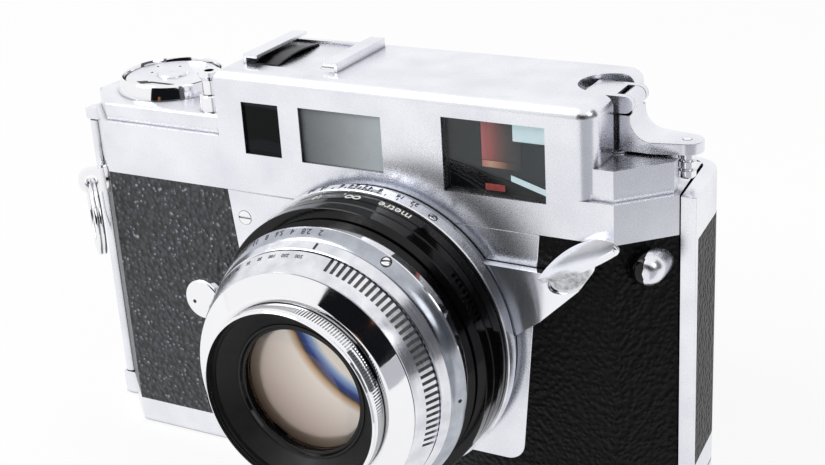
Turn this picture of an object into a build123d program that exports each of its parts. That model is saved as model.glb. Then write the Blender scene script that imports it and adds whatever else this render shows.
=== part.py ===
from build123d import *
import math
import os

# A 35 mm film camera with a coupled rangefinder and a fixed lens, in millimetres.
# The origin is the middle of the tripod socket's mouth, right under the lens axis. +Z is up, -Y is
# where the lens looks, and +X is to the right of someone who faces the lens.

# Body sizes
BODY_WIDTH = 140.0
BODY_DEPTH = 30.0
BODY_HEIGHT = 86.7
LENS_OFFSET = 8.1
LENS_HEIGHT = 36.9
FRONT_INSET = 12.3
CHAMFER_DEPTH = 9.0
END_TAPER = 1.6
BASE_BAND = 6.1
BASE_FLOOR = 1.2
BASE_EDGE = 0.6
COVER_DEPTH = 25.5
RIGHT_LEDGE_RISE = 7.8
LEFT_LEDGE_RISE = 11.4
PLATEAU_RISE = 13.8
PLATFORM_RISE = 15.3
LEDGE = 1.2
WALL = 1.1
ROOF = 2.6
SKIN = 0.8

# Clearances
GAP = 0.3
FIT = 0.05
SEAT = 0.02
RING_PLAY = 0.2

# Raised block of the top cover; its windows are (left, right) from the lens and (bottom, top) from its edge
BLOCK_LEFT = -35.5
BLOCK_PAST_REWIND = 2.5
BLOCK_BACK_INSET = 2.0
BLOCK_ROUND = 2.5
BLOCK_CORNER = 3.5
BLOCK_FRONT_WALL = 2.2
PLATFORM_ROUND = 0.8
RANGEFINDER_WINDOW = (-29.3, -20.6, 8.4, 19.3)
ILLUMINATION_WINDOW = (-15.9, 2.6, 8.1, 19.4)
VIEWFINDER_WINDOW = (15.6, 36.5, 6.3, 20.9)
WINDOW_RECESS = 0.7
WINDOW_GLASS = 1.0
EYEPIECE_X = 26.0
EYEPIECE_RISE = 14.2
EYEPIECE_WIDTH = 15.0
EYEPIECE_HEIGHT = 10.0
EYEPIECE_RIM = 1.5
EYEPIECE_PROUD = 1.4
MIRROR_WIDTH = 12.0

# Accessory shoe
SHOE_INSET = 15.0
SHOE_WIDTH = 22.0
SHOE_LENGTH = 19.0
SHOE_SHEET = 0.7
SHOE_SUNK = 1.2
SHOE_GAP = 1.7
SHOE_LIP = 3.3
SHOE_SPRING = 0.3
SPRING_WIDTH = 5.4
SPRING_INSET = 1.0
SPRING_LENGTH = 16.0

# Door with its leather, latch and pressure plate
DOOR_END = 2.9
DOOR_BACK = 1.4
DOOR_CORNER = 7.0
DOOR_LEATHER = 0.5
DOOR_LEATHER_DROP = 8.6
DOOR_LEATHER_RISE = 6.0
DOOR_LEATHER_MARGIN = 1.6
HINGE_PIN_RADIUS = 0.8
HINGE_EAR = 2.4
LATCH_INSET = 12.0
LATCH_DROP = 4.3
LATCH_WIDTH = 10.0
LATCH_HEIGHT = 4.4
LATCH_PROUD = 1.3
LATCH_SHANK = 2.4
LATCH_SHEET = 0.8
LATCH_NOSE = 2.0
LATCH_TRAVEL = 3.0
PRESSURE_WIDTH = 50.0
PRESSURE_HEIGHT = 30.0
PRESSURE_SHEET = 0.8
PRESSURE_PIN = 1.0
PRESSURE_PIN_REACH = 22.0
PRESSURE_SPRING_HALF = 18.0
PRESSURE_SPRING_WIDTH = 10.0
PRESSURE_SPRING = 0.25
FILM_GAP = 0.2

# Film path
CAST_BACK_INSET = 3.8
RAIL_HEIGHT = 0.3
RAIL_WIDTH = 1.6
RAIL_MARGIN = 2.0
RAIL_RUN = 6.0
GATE_WIDTH = 36.0
GATE_HEIGHT = 24.0
LIGHT_BOX_MARGIN = 1.5
CHAMBER_RADIUS = 13.0
CHAMBER_FLOOR = 8.0
CHAMBER_ROOF_DROP = 4.2
REWIND_INSET = 18.4
SPOOL_INSET = 20.1
SPOOL_CORE = 6.5
SPOOL_FLANGE = 12.0
SPOOL_SLOT = 1.6
SPINDLE = 2.0
SPINDLE_TAIL = 2.5
SPROCKET_X = -33.0
SPROCKET_Y = 5.6
SPROCKET_RADIUS = 6.0
SPROCKET_CORE = 4.2
SPROCKET_TEETH = 8
SPROCKET_END = 3.0
FILM_TRACK = 14.1

# Front plate, screws, sockets and lug
PLATE_TOP_HALF = 35.0
PLATE_FOOT_HALF = 30.2
PLATE_MARGIN = 1.1
PLATE_CORNER = 4.0
PLATE_SCREW_HIGH = (-31.3, 5.9)
PLATE_SCREW_LOW = (-28.0, 5.2)
BASE_SCREW_INSET = (14.0, 5.5)
SHOE_SCREW_SPREAD = 0.58
SCREW_HEAD = 1.5
SCREW_SHANK = 0.7
SCREW_LENGTH = 2.2
SCREW_SLOT = 0.45
SCREW_HEAD_HEIGHT = 0.6
TRIPOD_RADIUS = 3.175
TRIPOD_DEPTH = 5.5
TRIPOD_BUSH = 5.2
SYNC_RADIUS = 3.7
SYNC_INSET = 5.0
SYNC_DROP = 5.0
SYNC_BEHIND = 0.2
SYNC_ROUND = 0.9
SYNC_BORE = 2.4
SYNC_BORE_DEPTH = 2.0
SYNC_PIN = 0.6
LUG_DROP = 3.6
LUG_STANDOFF = 3.8
LUG_EYE = 1.5
LUG_RADIUS = 2.7
LUG_THICKNESS = 2.0
LUG_FLANGE = 3.2
RING_RADIUS = 8.2
RING_WIRE = 0.55
RING_COILS = 0.935
RING_DROP = 0.3

# Lens: stations are measured forwards from the front of the top cover
TUBE_RADIUS = 26.0
NECK_STEP = 2.0
NECK_WALL = 1.9
TUBE_FRONT = 13.2
TUBE_BACK = -4.0
RING_EDGE = 0.3
DEPTH_RING_WALL = 4.5
DEPTH_RING_WIDTH = 3.0
FOCUS_RING_WALL = 3.8
FOCUS_RING_FRONT = 13.6
FOCUS_TEETH = 9
FOCUS_TOOTH = 0.42
FOCUS_TEETH_START = 8.4
FOCUS_GRIPS = (31.5, 211.5)
FOCUS_GRIP_SWEEP = 19.0
FOCUS_KNOB_RADIUS = 4.4
FOCUS_KNOB_STAND = 7.9
FOCUS_KNOB_ANGLE = 176.0
FOCUS_KNOB_BACK = 7.0
FOCUS_KNOB_FRONT = 9.2
FOCUS_KNOB_ROUND = 0.6
FOCUS_STEM = 1.4
FLANGE_RADIUS = 28.1
FLANGE_START = 14.0
FLANGE_FRONT = 18.3
SHUTTER_ROOM = 25.6
SHUTTER_FLOOR = 15.0
SHUTTER_LID = 17.4
APERTURE_HOLE = 10.5
IRIS_FLOOR = 19.2
IRIS_ROOM = 20.5
APERTURE_SEAT = 24.5
APERTURE_RING_FRONT = 21.7
APERTURE_RING_SLOPE = 1.5
INDEX_RING_RADIUS = 26.6
INDEX_RING_FRONT = 24.3
INDEX_RING_SLOPE = 0.8
SPEED_SEAT = 22.5
SPEED_RING_FLUTES = 26.7
SPEED_RING_FRONT = 29.7
SPEED_RING_NOSE = 23.4
FLUTE_COUNT = 120
FLUTE_DEPTH = 0.9
FLUTE_SLOPE = 0.9
FLUTE_GRIPS = (-21.0, 159.0)
FLUTE_SWEEP = 102.0
BEZEL_BACK = 29.8
BEZEL_FRONT = 31.2
BEZEL_NOSE = 19.8
CELL_RADIUS = 18.4
CELL_FRONT = 35.7
CELL_BACK = 26.0
FILTER_RADIUS = 17.75
NAME_RING_FRONT = 33.7
NAME_RING_RADIUS = 17.3
GLASS_RADIUS = 13.2
GLASS_BACK = 27.6
GLASS_FRONT = 30.0
GLASS_CLEAR = 12.8
GLASS_DOME = 3.0
REAR_GLASS_RADIUS = 14.9
REAR_GLASS_BACK = 2.0
REAR_GLASS_FRONT = 8.0
REAR_GLASS_ROUND = 1.5
REAR_CLEAR = 11.0
BLADE_SHEET = 0.15
BLADE_STEP = 0.4
BLADE_PIN = 0.6
BLADE_BOSS = 1.8
IRIS_BLADES = 5
IRIS_PIVOT = 17.0
IRIS_BLADE_IN = 11.8
IRIS_BLADE_OUT = 15.8
IRIS_BLADE_SWEEP = 120.0
SHUTTER_BLADES = 3
SHUTTER_PIVOT = 19.0
SHUTTER_BLADE_REACH = 11.2
SHUTTER_BLADE_SWEEP = 140.0
SHUTTER_BLADE_LAP = 1.5

# Advance lever: points are (across, up) from the lens axis; its finger pad is a leaf that leans out
LEVER_START = 0.3
LEVER_THICKNESS = 1.8
LEVER_HUB_WALL = 3.6
LEVER_TIP = (47.6, 24.9)
LEVER_EDGE = [(46.6, 19.9), (43.4, 15.1), (35.6, 7.6), (29.5, 3.1), (20.0, 15.1), (23.6, 17.7)]
LEVER_HEEL = (36.2, 17.6)
LEVER_CREST = (42.0, 22.9)
PAD_CENTRE = (44.0, 21.3)
PAD_FORWARD = 4.0
PAD_RISE = 31.0
PAD_LEAN = 35.0
PAD_LENGTH = 17.0
PAD_CREST = 4.0
PAD_BELLY = 0.9
PAD_END = 0.9
PAD_END_ROUND = 0.5
PAD_THICKNESS = 1.6
PAD_HOLLOW = (41.8, 17.3)
PAD_HOLLOW_LENGTH = 10.0
PAD_HOLLOW_WIDTH = 5.0
PAD_HOLLOW_DEPTH = 0.7

# Top controls
DIAL_INSET = 19.8
DIAL_Y = 1.0
DIAL_RADIUS = 11.8
DIAL_HEIGHT = 3.2
DIAL_RIM = 0.9
DIAL_SUNK = 0.8
DIAL_BOSS = 1.6
RELEASE_BESIDE = 4.1
RELEASE_INSET = 4.5
RELEASE_RISE = 8.3
RELEASE_TAIL = 4.0
RELEASE_STEM = 1.7
RELEASE_CAP = 2.4
RELEASE_CAP_HEIGHT = 0.9
RELEASE_THREAD = 1.0
RELEASE_THREAD_DEPTH = 3.0
COLLAR_RADIUS = 2.5
COLLAR_HEIGHT = 3.4
COLLAR_SPIGOT = 2.2

# Rewind crank
REWIND_CUT = 6.2
HEAD_HUB = 4.5
HEAD_DISC = 5.6
HEAD_PLATE = 1.6
HEAD_PLATE_REACH = 4.1
FORK_LENGTH = 6.0
FORK_WIDTH = 6.0
FORK_RISE = 4.0
CRANK_PIN_REACH = 4.0
CRANK_RISE = 9.2
CRANK_PIN_RADIUS = 0.7
CRANK_KNUCKLE = 1.6
CRANK_KNUCKLE_HALF = 2.8
CRANK_EAR = 1.4
CRANK_HALF = 4.2
CRANK_SHEET = 2.2
CRANK_LIFT = 0.4
CRANK_BEND = 4.0
CRANK_KNOB_REACH = 14.5
CRANK_KNOB_RADIUS = 1.7
CRANK_KNOB_LENGTH = 5.0
CRANK_KNOB_GROOVES = (0.35, 0.7)
CRANK_RIVET = 0.8
CRANK_TIP = 3.1
CRANK_SHOULDER = 5.5
NOTCH_END = 70.0
NOTCH_ROOM = 1.8
RELEASE_KEY_X = -33.0
RELEASE_KEY_RADIUS = 2.6
RELEASE_KEY_TRAVEL = 1.5
RELEASE_KEY_SUNK = 0.3

# Places worked out from the sizes
MIDDLE = -LENS_OFFSET
FRONT = -BODY_DEPTH / 2
BACK = BODY_DEPTH / 2
FRONT_FLAT = BODY_WIDTH - 2 * FRONT_INSET
RIGHT_END = MIDDLE + BODY_WIDTH / 2
LEFT_END = MIDDLE - BODY_WIDTH / 2
COVER_EDGE = BODY_HEIGHT - COVER_DEPTH
RIGHT_LEDGE = COVER_EDGE + RIGHT_LEDGE_RISE
LEFT_LEDGE = COVER_EDGE + LEFT_LEDGE_RISE
PLATEAU_TOP = COVER_EDGE + PLATEAU_RISE
PLATFORM_TOP = COVER_EDGE + PLATFORM_RISE
BLOCK_BACK = BACK - BLOCK_BACK_INSET
CAST_BACK = BACK - CAST_BACK_INSET
DOOR_FRONT = FRONT + CHAMFER_DEPTH
DOOR_INNER = BACK - DOOR_BACK
DOOR_FOOT = BASE_BAND + GAP
DOOR_TOP = RIGHT_LEDGE - GAP
SKIRT_HALF = BODY_WIDTH / 2 - DOOR_END - GAP
SKIRT_BACK = CAST_BACK + GAP
CAST_FOOT = BASE_FLOOR + SEAT
CAST_TOP = COVER_EDGE - SEAT
CHAMBER_ROOF = COVER_EDGE - CHAMBER_ROOF_DROP
CHAMFER_ANGLE = math.atan2(CHAMFER_DEPTH, SKIRT_HALF - FRONT_FLAT / 2)
HINGE_X = LEFT_END + DOOR_END / 2
HINGE_Y = DOOR_FRONT + DOOR_END / 2
LATCH_X = RIGHT_END - LATCH_INSET
LATCH_Z = DOOR_TOP - LATCH_DROP
RAIL_BACK = CAST_BACK + RAIL_HEIGHT
PRESSURE_FRONT = RAIL_BACK + FILM_GAP
PRESSURE_BACK = PRESSURE_FRONT + PRESSURE_SHEET
REWIND_X = RIGHT_END - REWIND_INSET
SPOOL_X = LEFT_END + SPOOL_INSET
DIAL_X = LEFT_END + DIAL_INSET
BLOCK_RIGHT = REWIND_X + BLOCK_PAST_REWIND
EYEPIECE_Z = COVER_EDGE + EYEPIECE_RISE
SHOE_X = BLOCK_LEFT + SHOE_INSET
SHOE_FLOOR = BODY_HEIGHT - SHOE_SUNK + SHOE_SHEET
SYNC_X = MIDDLE + FRONT_FLAT / 2 + SYNC_INSET
SYNC_Z = COVER_EDGE - SYNC_DROP
SYNC_FACE = FRONT + SYNC_BEHIND
LUG_HEIGHT = COVER_EDGE - LUG_DROP
TUBE_NECK = TUBE_RADIUS - NECK_STEP
TUBE_BORE = TUBE_NECK - NECK_WALL
PLATE_FOOT = LENS_HEIGHT - TUBE_NECK - PLATE_MARGIN
LEVER_HUB = TUBE_RADIUS + LEVER_HUB_WALL
DEPTH_RING_RADIUS = TUBE_RADIUS + DEPTH_RING_WALL
FOCUS_RING_RADIUS = TUBE_RADIUS + FOCUS_RING_WALL
FOCUS_KNOB_REACH = FOCUS_RING_RADIUS + FOCUS_KNOB_STAND
LEVER_FRONT = LEVER_START + LEVER_THICKNESS
DEPTH_RING_BACK = LEVER_FRONT + GAP
DEPTH_RING_FRONT = DEPTH_RING_BACK + DEPTH_RING_WIDTH
FOCUS_RING_BACK = DEPTH_RING_FRONT + RING_PLAY
RELEASE_X = BLOCK_LEFT - RELEASE_BESIDE
RELEASE_Y = FRONT + RELEASE_INSET
RELEASE_TOP = PLATFORM_TOP + RELEASE_RISE
CRANK_FLOOR = PLATEAU_TOP + CRANK_LIFT
CRANK_PIN_X = REWIND_X + CRANK_PIN_REACH
CRANK_PIN_Z = PLATEAU_TOP + CRANK_RISE
CRANK_EAR_OUT = CRANK_KNUCKLE_HALF + FIT + CRANK_EAR
CRANK_KNOB_X = REWIND_X + CRANK_KNOB_REACH
HEAD_TOP = CRANK_PIN_Z + CRANK_KNUCKLE
FORK_TOP = PLATEAU_TOP + FORK_RISE
NOTCH_RADIUS = CRANK_KNOB_REACH - CRANK_KNOB_RADIUS - 2 * GAP
NOTCH_Y = -CRANK_KNOB_RADIUS - NOTCH_ROOM
BLOCK_ROOM_LOW = (BLOCK_LEFT + WALL, FRONT + BLOCK_FRONT_WALL, RIGHT_LEDGE - 2 * WALL)
BLOCK_ROOM_HIGH = (REWIND_X - REWIND_CUT - WALL, BLOCK_BACK - WALL, BODY_HEIGHT - ROOF)
WINDOWS = {
    name: (left, right, COVER_EDGE + bottom, COVER_EDGE + top)
    for name, (left, right, bottom, top) in (
        ("rangefinder_window", RANGEFINDER_WINDOW),
        ("illumination_window", ILLUMINATION_WINDOW),
        ("viewfinder_window", VIEWFINDER_WINDOW),
    )
}
PLATE_SCREWS = [
    (PLATE_SCREW_HIGH[0], COVER_EDGE - PLATE_SCREW_HIGH[1]),
    (PLATE_SCREW_LOW[0], PLATE_FOOT + PLATE_SCREW_LOW[1]),
]
SHOE_SCREWS = [
    (SHOE_X + side * SHOE_SCREW_SPREAD * SHOE_WIDTH / 2, end * SHOE_SCREW_SPREAD * SHOE_LENGTH / 2)
    for side in (-1, 1)
    for end in (-1, 1)
]
BASE_SCREWS = [
    (MIDDLE + side * (SKIRT_HALF - BASE_SCREW_INSET[0]), FRONT + BASE_SCREW_INSET[1]) for side in (-1, 1)
]
EYEPIECE_LOW = (EYEPIECE_X - EYEPIECE_WIDTH / 2, EYEPIECE_Z - EYEPIECE_HEIGHT / 2)
EYEPIECE_HIGH = (EYEPIECE_X + EYEPIECE_WIDTH / 2, EYEPIECE_Z + EYEPIECE_HEIGHT / 2)

LENS_AXIS = Axis((0, FRONT, LENS_HEIGHT), (0, -1, 0))
LENS_SECTION = Plane(origin=(0, FRONT, LENS_HEIGHT), x_dir=(0, -1, 0), z_dir=(0, 0, 1))
PARTS = "parts"


def lens_plane(station, turn=0):
    """Plane square to the lens axis, seen from the front, turned from +X towards +Z."""
    across = (math.cos(math.radians(turn)), 0, math.sin(math.radians(turn)))
    return Plane(origin=(0, FRONT - station, LENS_HEIGHT), x_dir=across, z_dir=(0, -1, 0))


def front_plane(depth=0):
    """Upright plane behind the front of the body, seen from the front, with +X right and +Z up."""
    return Plane(origin=(0, FRONT + depth, 0), x_dir=(1, 0, 0), z_dir=(0, -1, 0))


def plan(inset, back):
    """Corners of the body's plan, inset from its skin, from the left back round to the right back."""
    corner = FRONT_FLAT / 2 - inset * math.tan(CHAMFER_ANGLE / 2)
    end = SKIRT_HALF - inset
    end_y = DOOR_FRONT + inset * math.tan((math.pi / 2 - CHAMFER_ANGLE) / 2)
    half = [(corner, FRONT + inset), (end, end_y), (end - END_TAPER, back)]
    right = [(MIDDLE + x, y) for x, y in half]
    left = [(MIDDLE - x, y) for x, y in reversed(half)]
    return left + right


def left_plan(inset, back):
    """The part of the plan to the left of the raised block."""
    return [(BLOCK_LEFT, back)] + plan(inset, back)[:3] + [(BLOCK_LEFT, FRONT + inset)]


def prism(points, bottom, top, mode=Mode.ADD):
    """Upright prism on a plan outline."""
    with BuildSketch(Plane.XY.offset(bottom)) as base:
        with BuildLine():
            Polyline(*points, close=True)
        make_face()
    extrude(base.sketch, amount=top - bottom, mode=mode)


def bar(low, high, mode=Mode.ADD):
    """Box from its lowest to its highest corner."""
    size = [b - a for a, b in zip(low, high)]
    middle = [(a + b) / 2 for a, b in zip(low, high)]
    with Locations(tuple(middle)):
        Box(*size, mode=mode)


def post(x, y, radius, bottom, top, mode=Mode.ADD):
    """Upright cylinder."""
    with Locations((x, y, (bottom + top) / 2)):
        Cylinder(radius, top - bottom, mode=mode)


def turned(points, plane, axis, mode=Mode.ADD):
    """Solid of revolution from a closed outline."""
    with BuildSketch(plane) as section:
        with BuildLine():
            Polyline(*points, close=True)
        make_face()
    revolve(section.sketch, axis=axis, mode=mode)


def lens_ring(points, mode=Mode.ADD):
    """Ring turned about the lens axis from an outline of (station, radius) points."""
    turned(points, LENS_SECTION, LENS_AXIS, mode)


def lens_disc(radius, back, front, mode=Mode.ADD):
    """Plain disc about the lens axis between two stations."""
    with BuildSketch(lens_plane(back)) as disc:
        Circle(radius)
    extrude(disc.sketch, amount=front - back, mode=mode)


def upright(x, y):
    """Section plane through an upright axis, with its radius along +X and its height along +Z."""
    return Plane(origin=(x, y, 0), x_dir=(1, 0, 0), z_dir=(0, -1, 0))


def upright_axis(x, y):
    return Axis((x, y, 0), (0, 0, 1))


def bowed_leaf(side, half, rise, sheet, width):
    """Leaf spring bowed up between its two ends, drawn on its side and extruded to its width."""
    with BuildSketch(side) as leaf:
        with BuildLine():
            ThreePointArc((-half, 0), (0, rise), (half, 0))
            Line((half, 0), (half, sheet))
            ThreePointArc((half, sheet), (0, rise + sheet), (-half, sheet))
            Line((-half, sheet), (-half, 0))
        make_face()
    extrude(leaf.sketch, amount=width)


def door_outline(end, back):
    """Corners of the door's plan, inset from its ends and back; its front runs on past the edge."""
    run = 2 * DOOR_CORNER
    flare = run * END_TAPER / (BACK - DOOR_FRONT)
    half = BODY_WIDTH / 2 - end
    corners = [(half + flare, DOOR_FRONT - run), (half - END_TAPER, BACK - back)]
    right = [(MIDDLE + x, y) for x, y in corners]
    left = [(MIDDLE - x, y) for x, y in reversed(corners)]
    return right + left


def door_band(outer, inner, starts, bottom, top, mode=Mode.ADD):
    """Wall round the back of the body between two insets, from a start on the left to one on the right."""
    with BuildSketch(Plane.XY.offset(bottom)) as band:
        with BuildLine():
            FilletPolyline(*door_outline(*outer), radius=DOOR_CORNER - outer[0], close=True)
        make_face()
        with BuildLine():
            FilletPolyline(*door_outline(*inner), radius=DOOR_CORNER - inner[0], close=True)
        make_face(mode=Mode.SUBTRACT)
        for side, start in zip((-1, 1), starts):
            with Locations((MIDDLE + side * BODY_WIDTH / 2, start - BODY_WIDTH / 2)):
                Rectangle(BODY_WIDTH, BODY_WIDTH, mode=Mode.SUBTRACT)
    extrude(band.sketch, amount=top - bottom, mode=mode)


def save(builder, name):
    builder.part.label = name
    export_step(builder.part, PARTS + "/" + name + ".step")


def screw(face):
    """Slotted flat-headed screw, sunk flush with a face."""
    with BuildSketch(face) as head:
        Circle(SCREW_HEAD)
        Rectangle(2 * SCREW_HEAD, SCREW_SLOT, mode=Mode.SUBTRACT)
    extrude(head.sketch, amount=-SCREW_HEAD_HEIGHT)
    with BuildSketch(face.offset(-SCREW_HEAD_HEIGHT / 2)) as disc:
        Circle(SCREW_HEAD)
    extrude(disc.sketch, amount=-SCREW_HEAD_HEIGHT / 2)
    with BuildSketch(face.offset(-SCREW_HEAD_HEIGHT)) as shank:
        Circle(SCREW_SHANK)
    extrude(shank.sketch, amount=SCREW_HEAD_HEIGHT - SCREW_LENGTH)


def blade_station(floor, index):
    """Station of the back of a blade, each blade one step in front of the last."""
    return floor + BLADE_STEP * (index + 1)


os.makedirs(PARTS, exist_ok=True)

# The strap lug stands square on the middle of the left chamfer, and its ring hangs beside that face
CHAMFER_OUT = Vector(-math.sin(CHAMFER_ANGLE), -math.cos(CHAMFER_ANGLE), 0)
CHAMFER_ALONG = Vector(math.cos(CHAMFER_ANGLE), -math.sin(CHAMFER_ANGLE), 0)
LUG_FOOT = (Vector(*plan(0, BACK)[1]) + Vector(*plan(0, BACK)[2])) / 2 + Vector(0, 0, LUG_HEIGHT)
LUG_FACE = Plane(origin=LUG_FOOT, x_dir=CHAMFER_ALONG, z_dir=CHAMFER_OUT)
LUG_SIDE = Plane(origin=LUG_FOOT, x_dir=CHAMFER_OUT, z_dir=-CHAMFER_ALONG)
RING_HANG = LUG_FOOT + CHAMFER_OUT * LUG_STANDOFF - Vector(0, 0, RING_DROP)
RING_CENTRE = RING_HANG - Vector(0, 0, RING_RADIUS)
RING_SECTION = Plane(origin=RING_CENTRE, x_dir=(0, 0, 1), z_dir=CHAMFER_ALONG)
RING_AXIS = Axis(RING_CENTRE, CHAMFER_OUT)

# Die-cast body with its film chambers, light box and film rails
with BuildPart() as body_casting:
    prism(plan(SKIN, CAST_BACK), CAST_FOOT, CAST_TOP)
    for chamber_x in (REWIND_X, SPOOL_X):
        post(chamber_x, 0, CHAMBER_RADIUS, CHAMBER_FLOOR, CHAMBER_ROOF, Mode.SUBTRACT)
        bar(
            (chamber_x - CHAMBER_RADIUS, 0, CHAMBER_FLOOR),
            (chamber_x + CHAMBER_RADIUS, BACK, CHAMBER_ROOF),
            Mode.SUBTRACT,
        )
        post(chamber_x, 0, SPINDLE + FIT, CHAMBER_FLOOR - SPINDLE_TAIL - GAP, BODY_HEIGHT, Mode.SUBTRACT)
    box_half = GATE_WIDTH / 2 + LIGHT_BOX_MARGIN
    box_rise = GATE_HEIGHT / 2 + LIGHT_BOX_MARGIN
    bar(
        (-box_half, FRONT, LENS_HEIGHT - box_rise),
        (box_half, CAST_BACK - LIGHT_BOX_MARGIN, LENS_HEIGHT + box_rise),
        Mode.SUBTRACT,
    )
    bar(
        (-GATE_WIDTH / 2, FRONT, LENS_HEIGHT - GATE_HEIGHT / 2),
        (GATE_WIDTH / 2, BACK, LENS_HEIGHT + GATE_HEIGHT / 2),
        Mode.SUBTRACT,
    )
    lens_disc(TUBE_NECK + SEAT, TUBE_BACK - SEAT, 0, Mode.SUBTRACT)
    pocket = SPROCKET_RADIUS + 2 * GAP
    reach = FILM_TRACK + SPROCKET_END + GAP
    spindle_foot = LENS_HEIGHT - reach - SPINDLE_TAIL - GAP
    post(SPROCKET_X, SPROCKET_Y, pocket, LENS_HEIGHT - reach, LENS_HEIGHT + reach, Mode.SUBTRACT)
    post(SPROCKET_X, SPROCKET_Y, SPINDLE + FIT, spindle_foot, BODY_HEIGHT, Mode.SUBTRACT)
    bar(
        (SPROCKET_X - pocket, SPROCKET_Y, LENS_HEIGHT - reach),
        (SPROCKET_X + pocket, BACK, LENS_HEIGHT + reach),
        Mode.SUBTRACT,
    )
    for side in (-1, 1):
        rail_middle = LENS_HEIGHT + side * (GATE_HEIGHT / 2 + RAIL_MARGIN)
        bar(
            (-GATE_WIDTH / 2 - RAIL_RUN, CAST_BACK - SEAT, rail_middle - RAIL_WIDTH / 2),
            (GATE_WIDTH / 2 + RAIL_RUN, RAIL_BACK, rail_middle + RAIL_WIDTH / 2),
        )
    post(0, 0, TRIPOD_BUSH + SEAT, CAST_FOOT, TRIPOD_DEPTH + WALL, Mode.SUBTRACT)
    key_roof = BASE_BAND + RELEASE_KEY_TRAVEL + WALL
    post(RELEASE_KEY_X, 0, RELEASE_KEY_RADIUS + FIT, CAST_FOOT, key_roof, Mode.SUBTRACT)
    for x, y in BASE_SCREWS:
        post(x, y, SCREW_SHANK + SEAT, CAST_FOOT, BASE_FLOOR + SCREW_LENGTH, Mode.SUBTRACT)
    for x, z in PLATE_SCREWS:
        with Locations(Plane(origin=(x, FRONT + SKIN, z), z_dir=(0, -1, 0))):
            Hole(SCREW_SHANK + SEAT, depth=SCREW_LENGTH)
save(body_casting, "body_casting")

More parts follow.
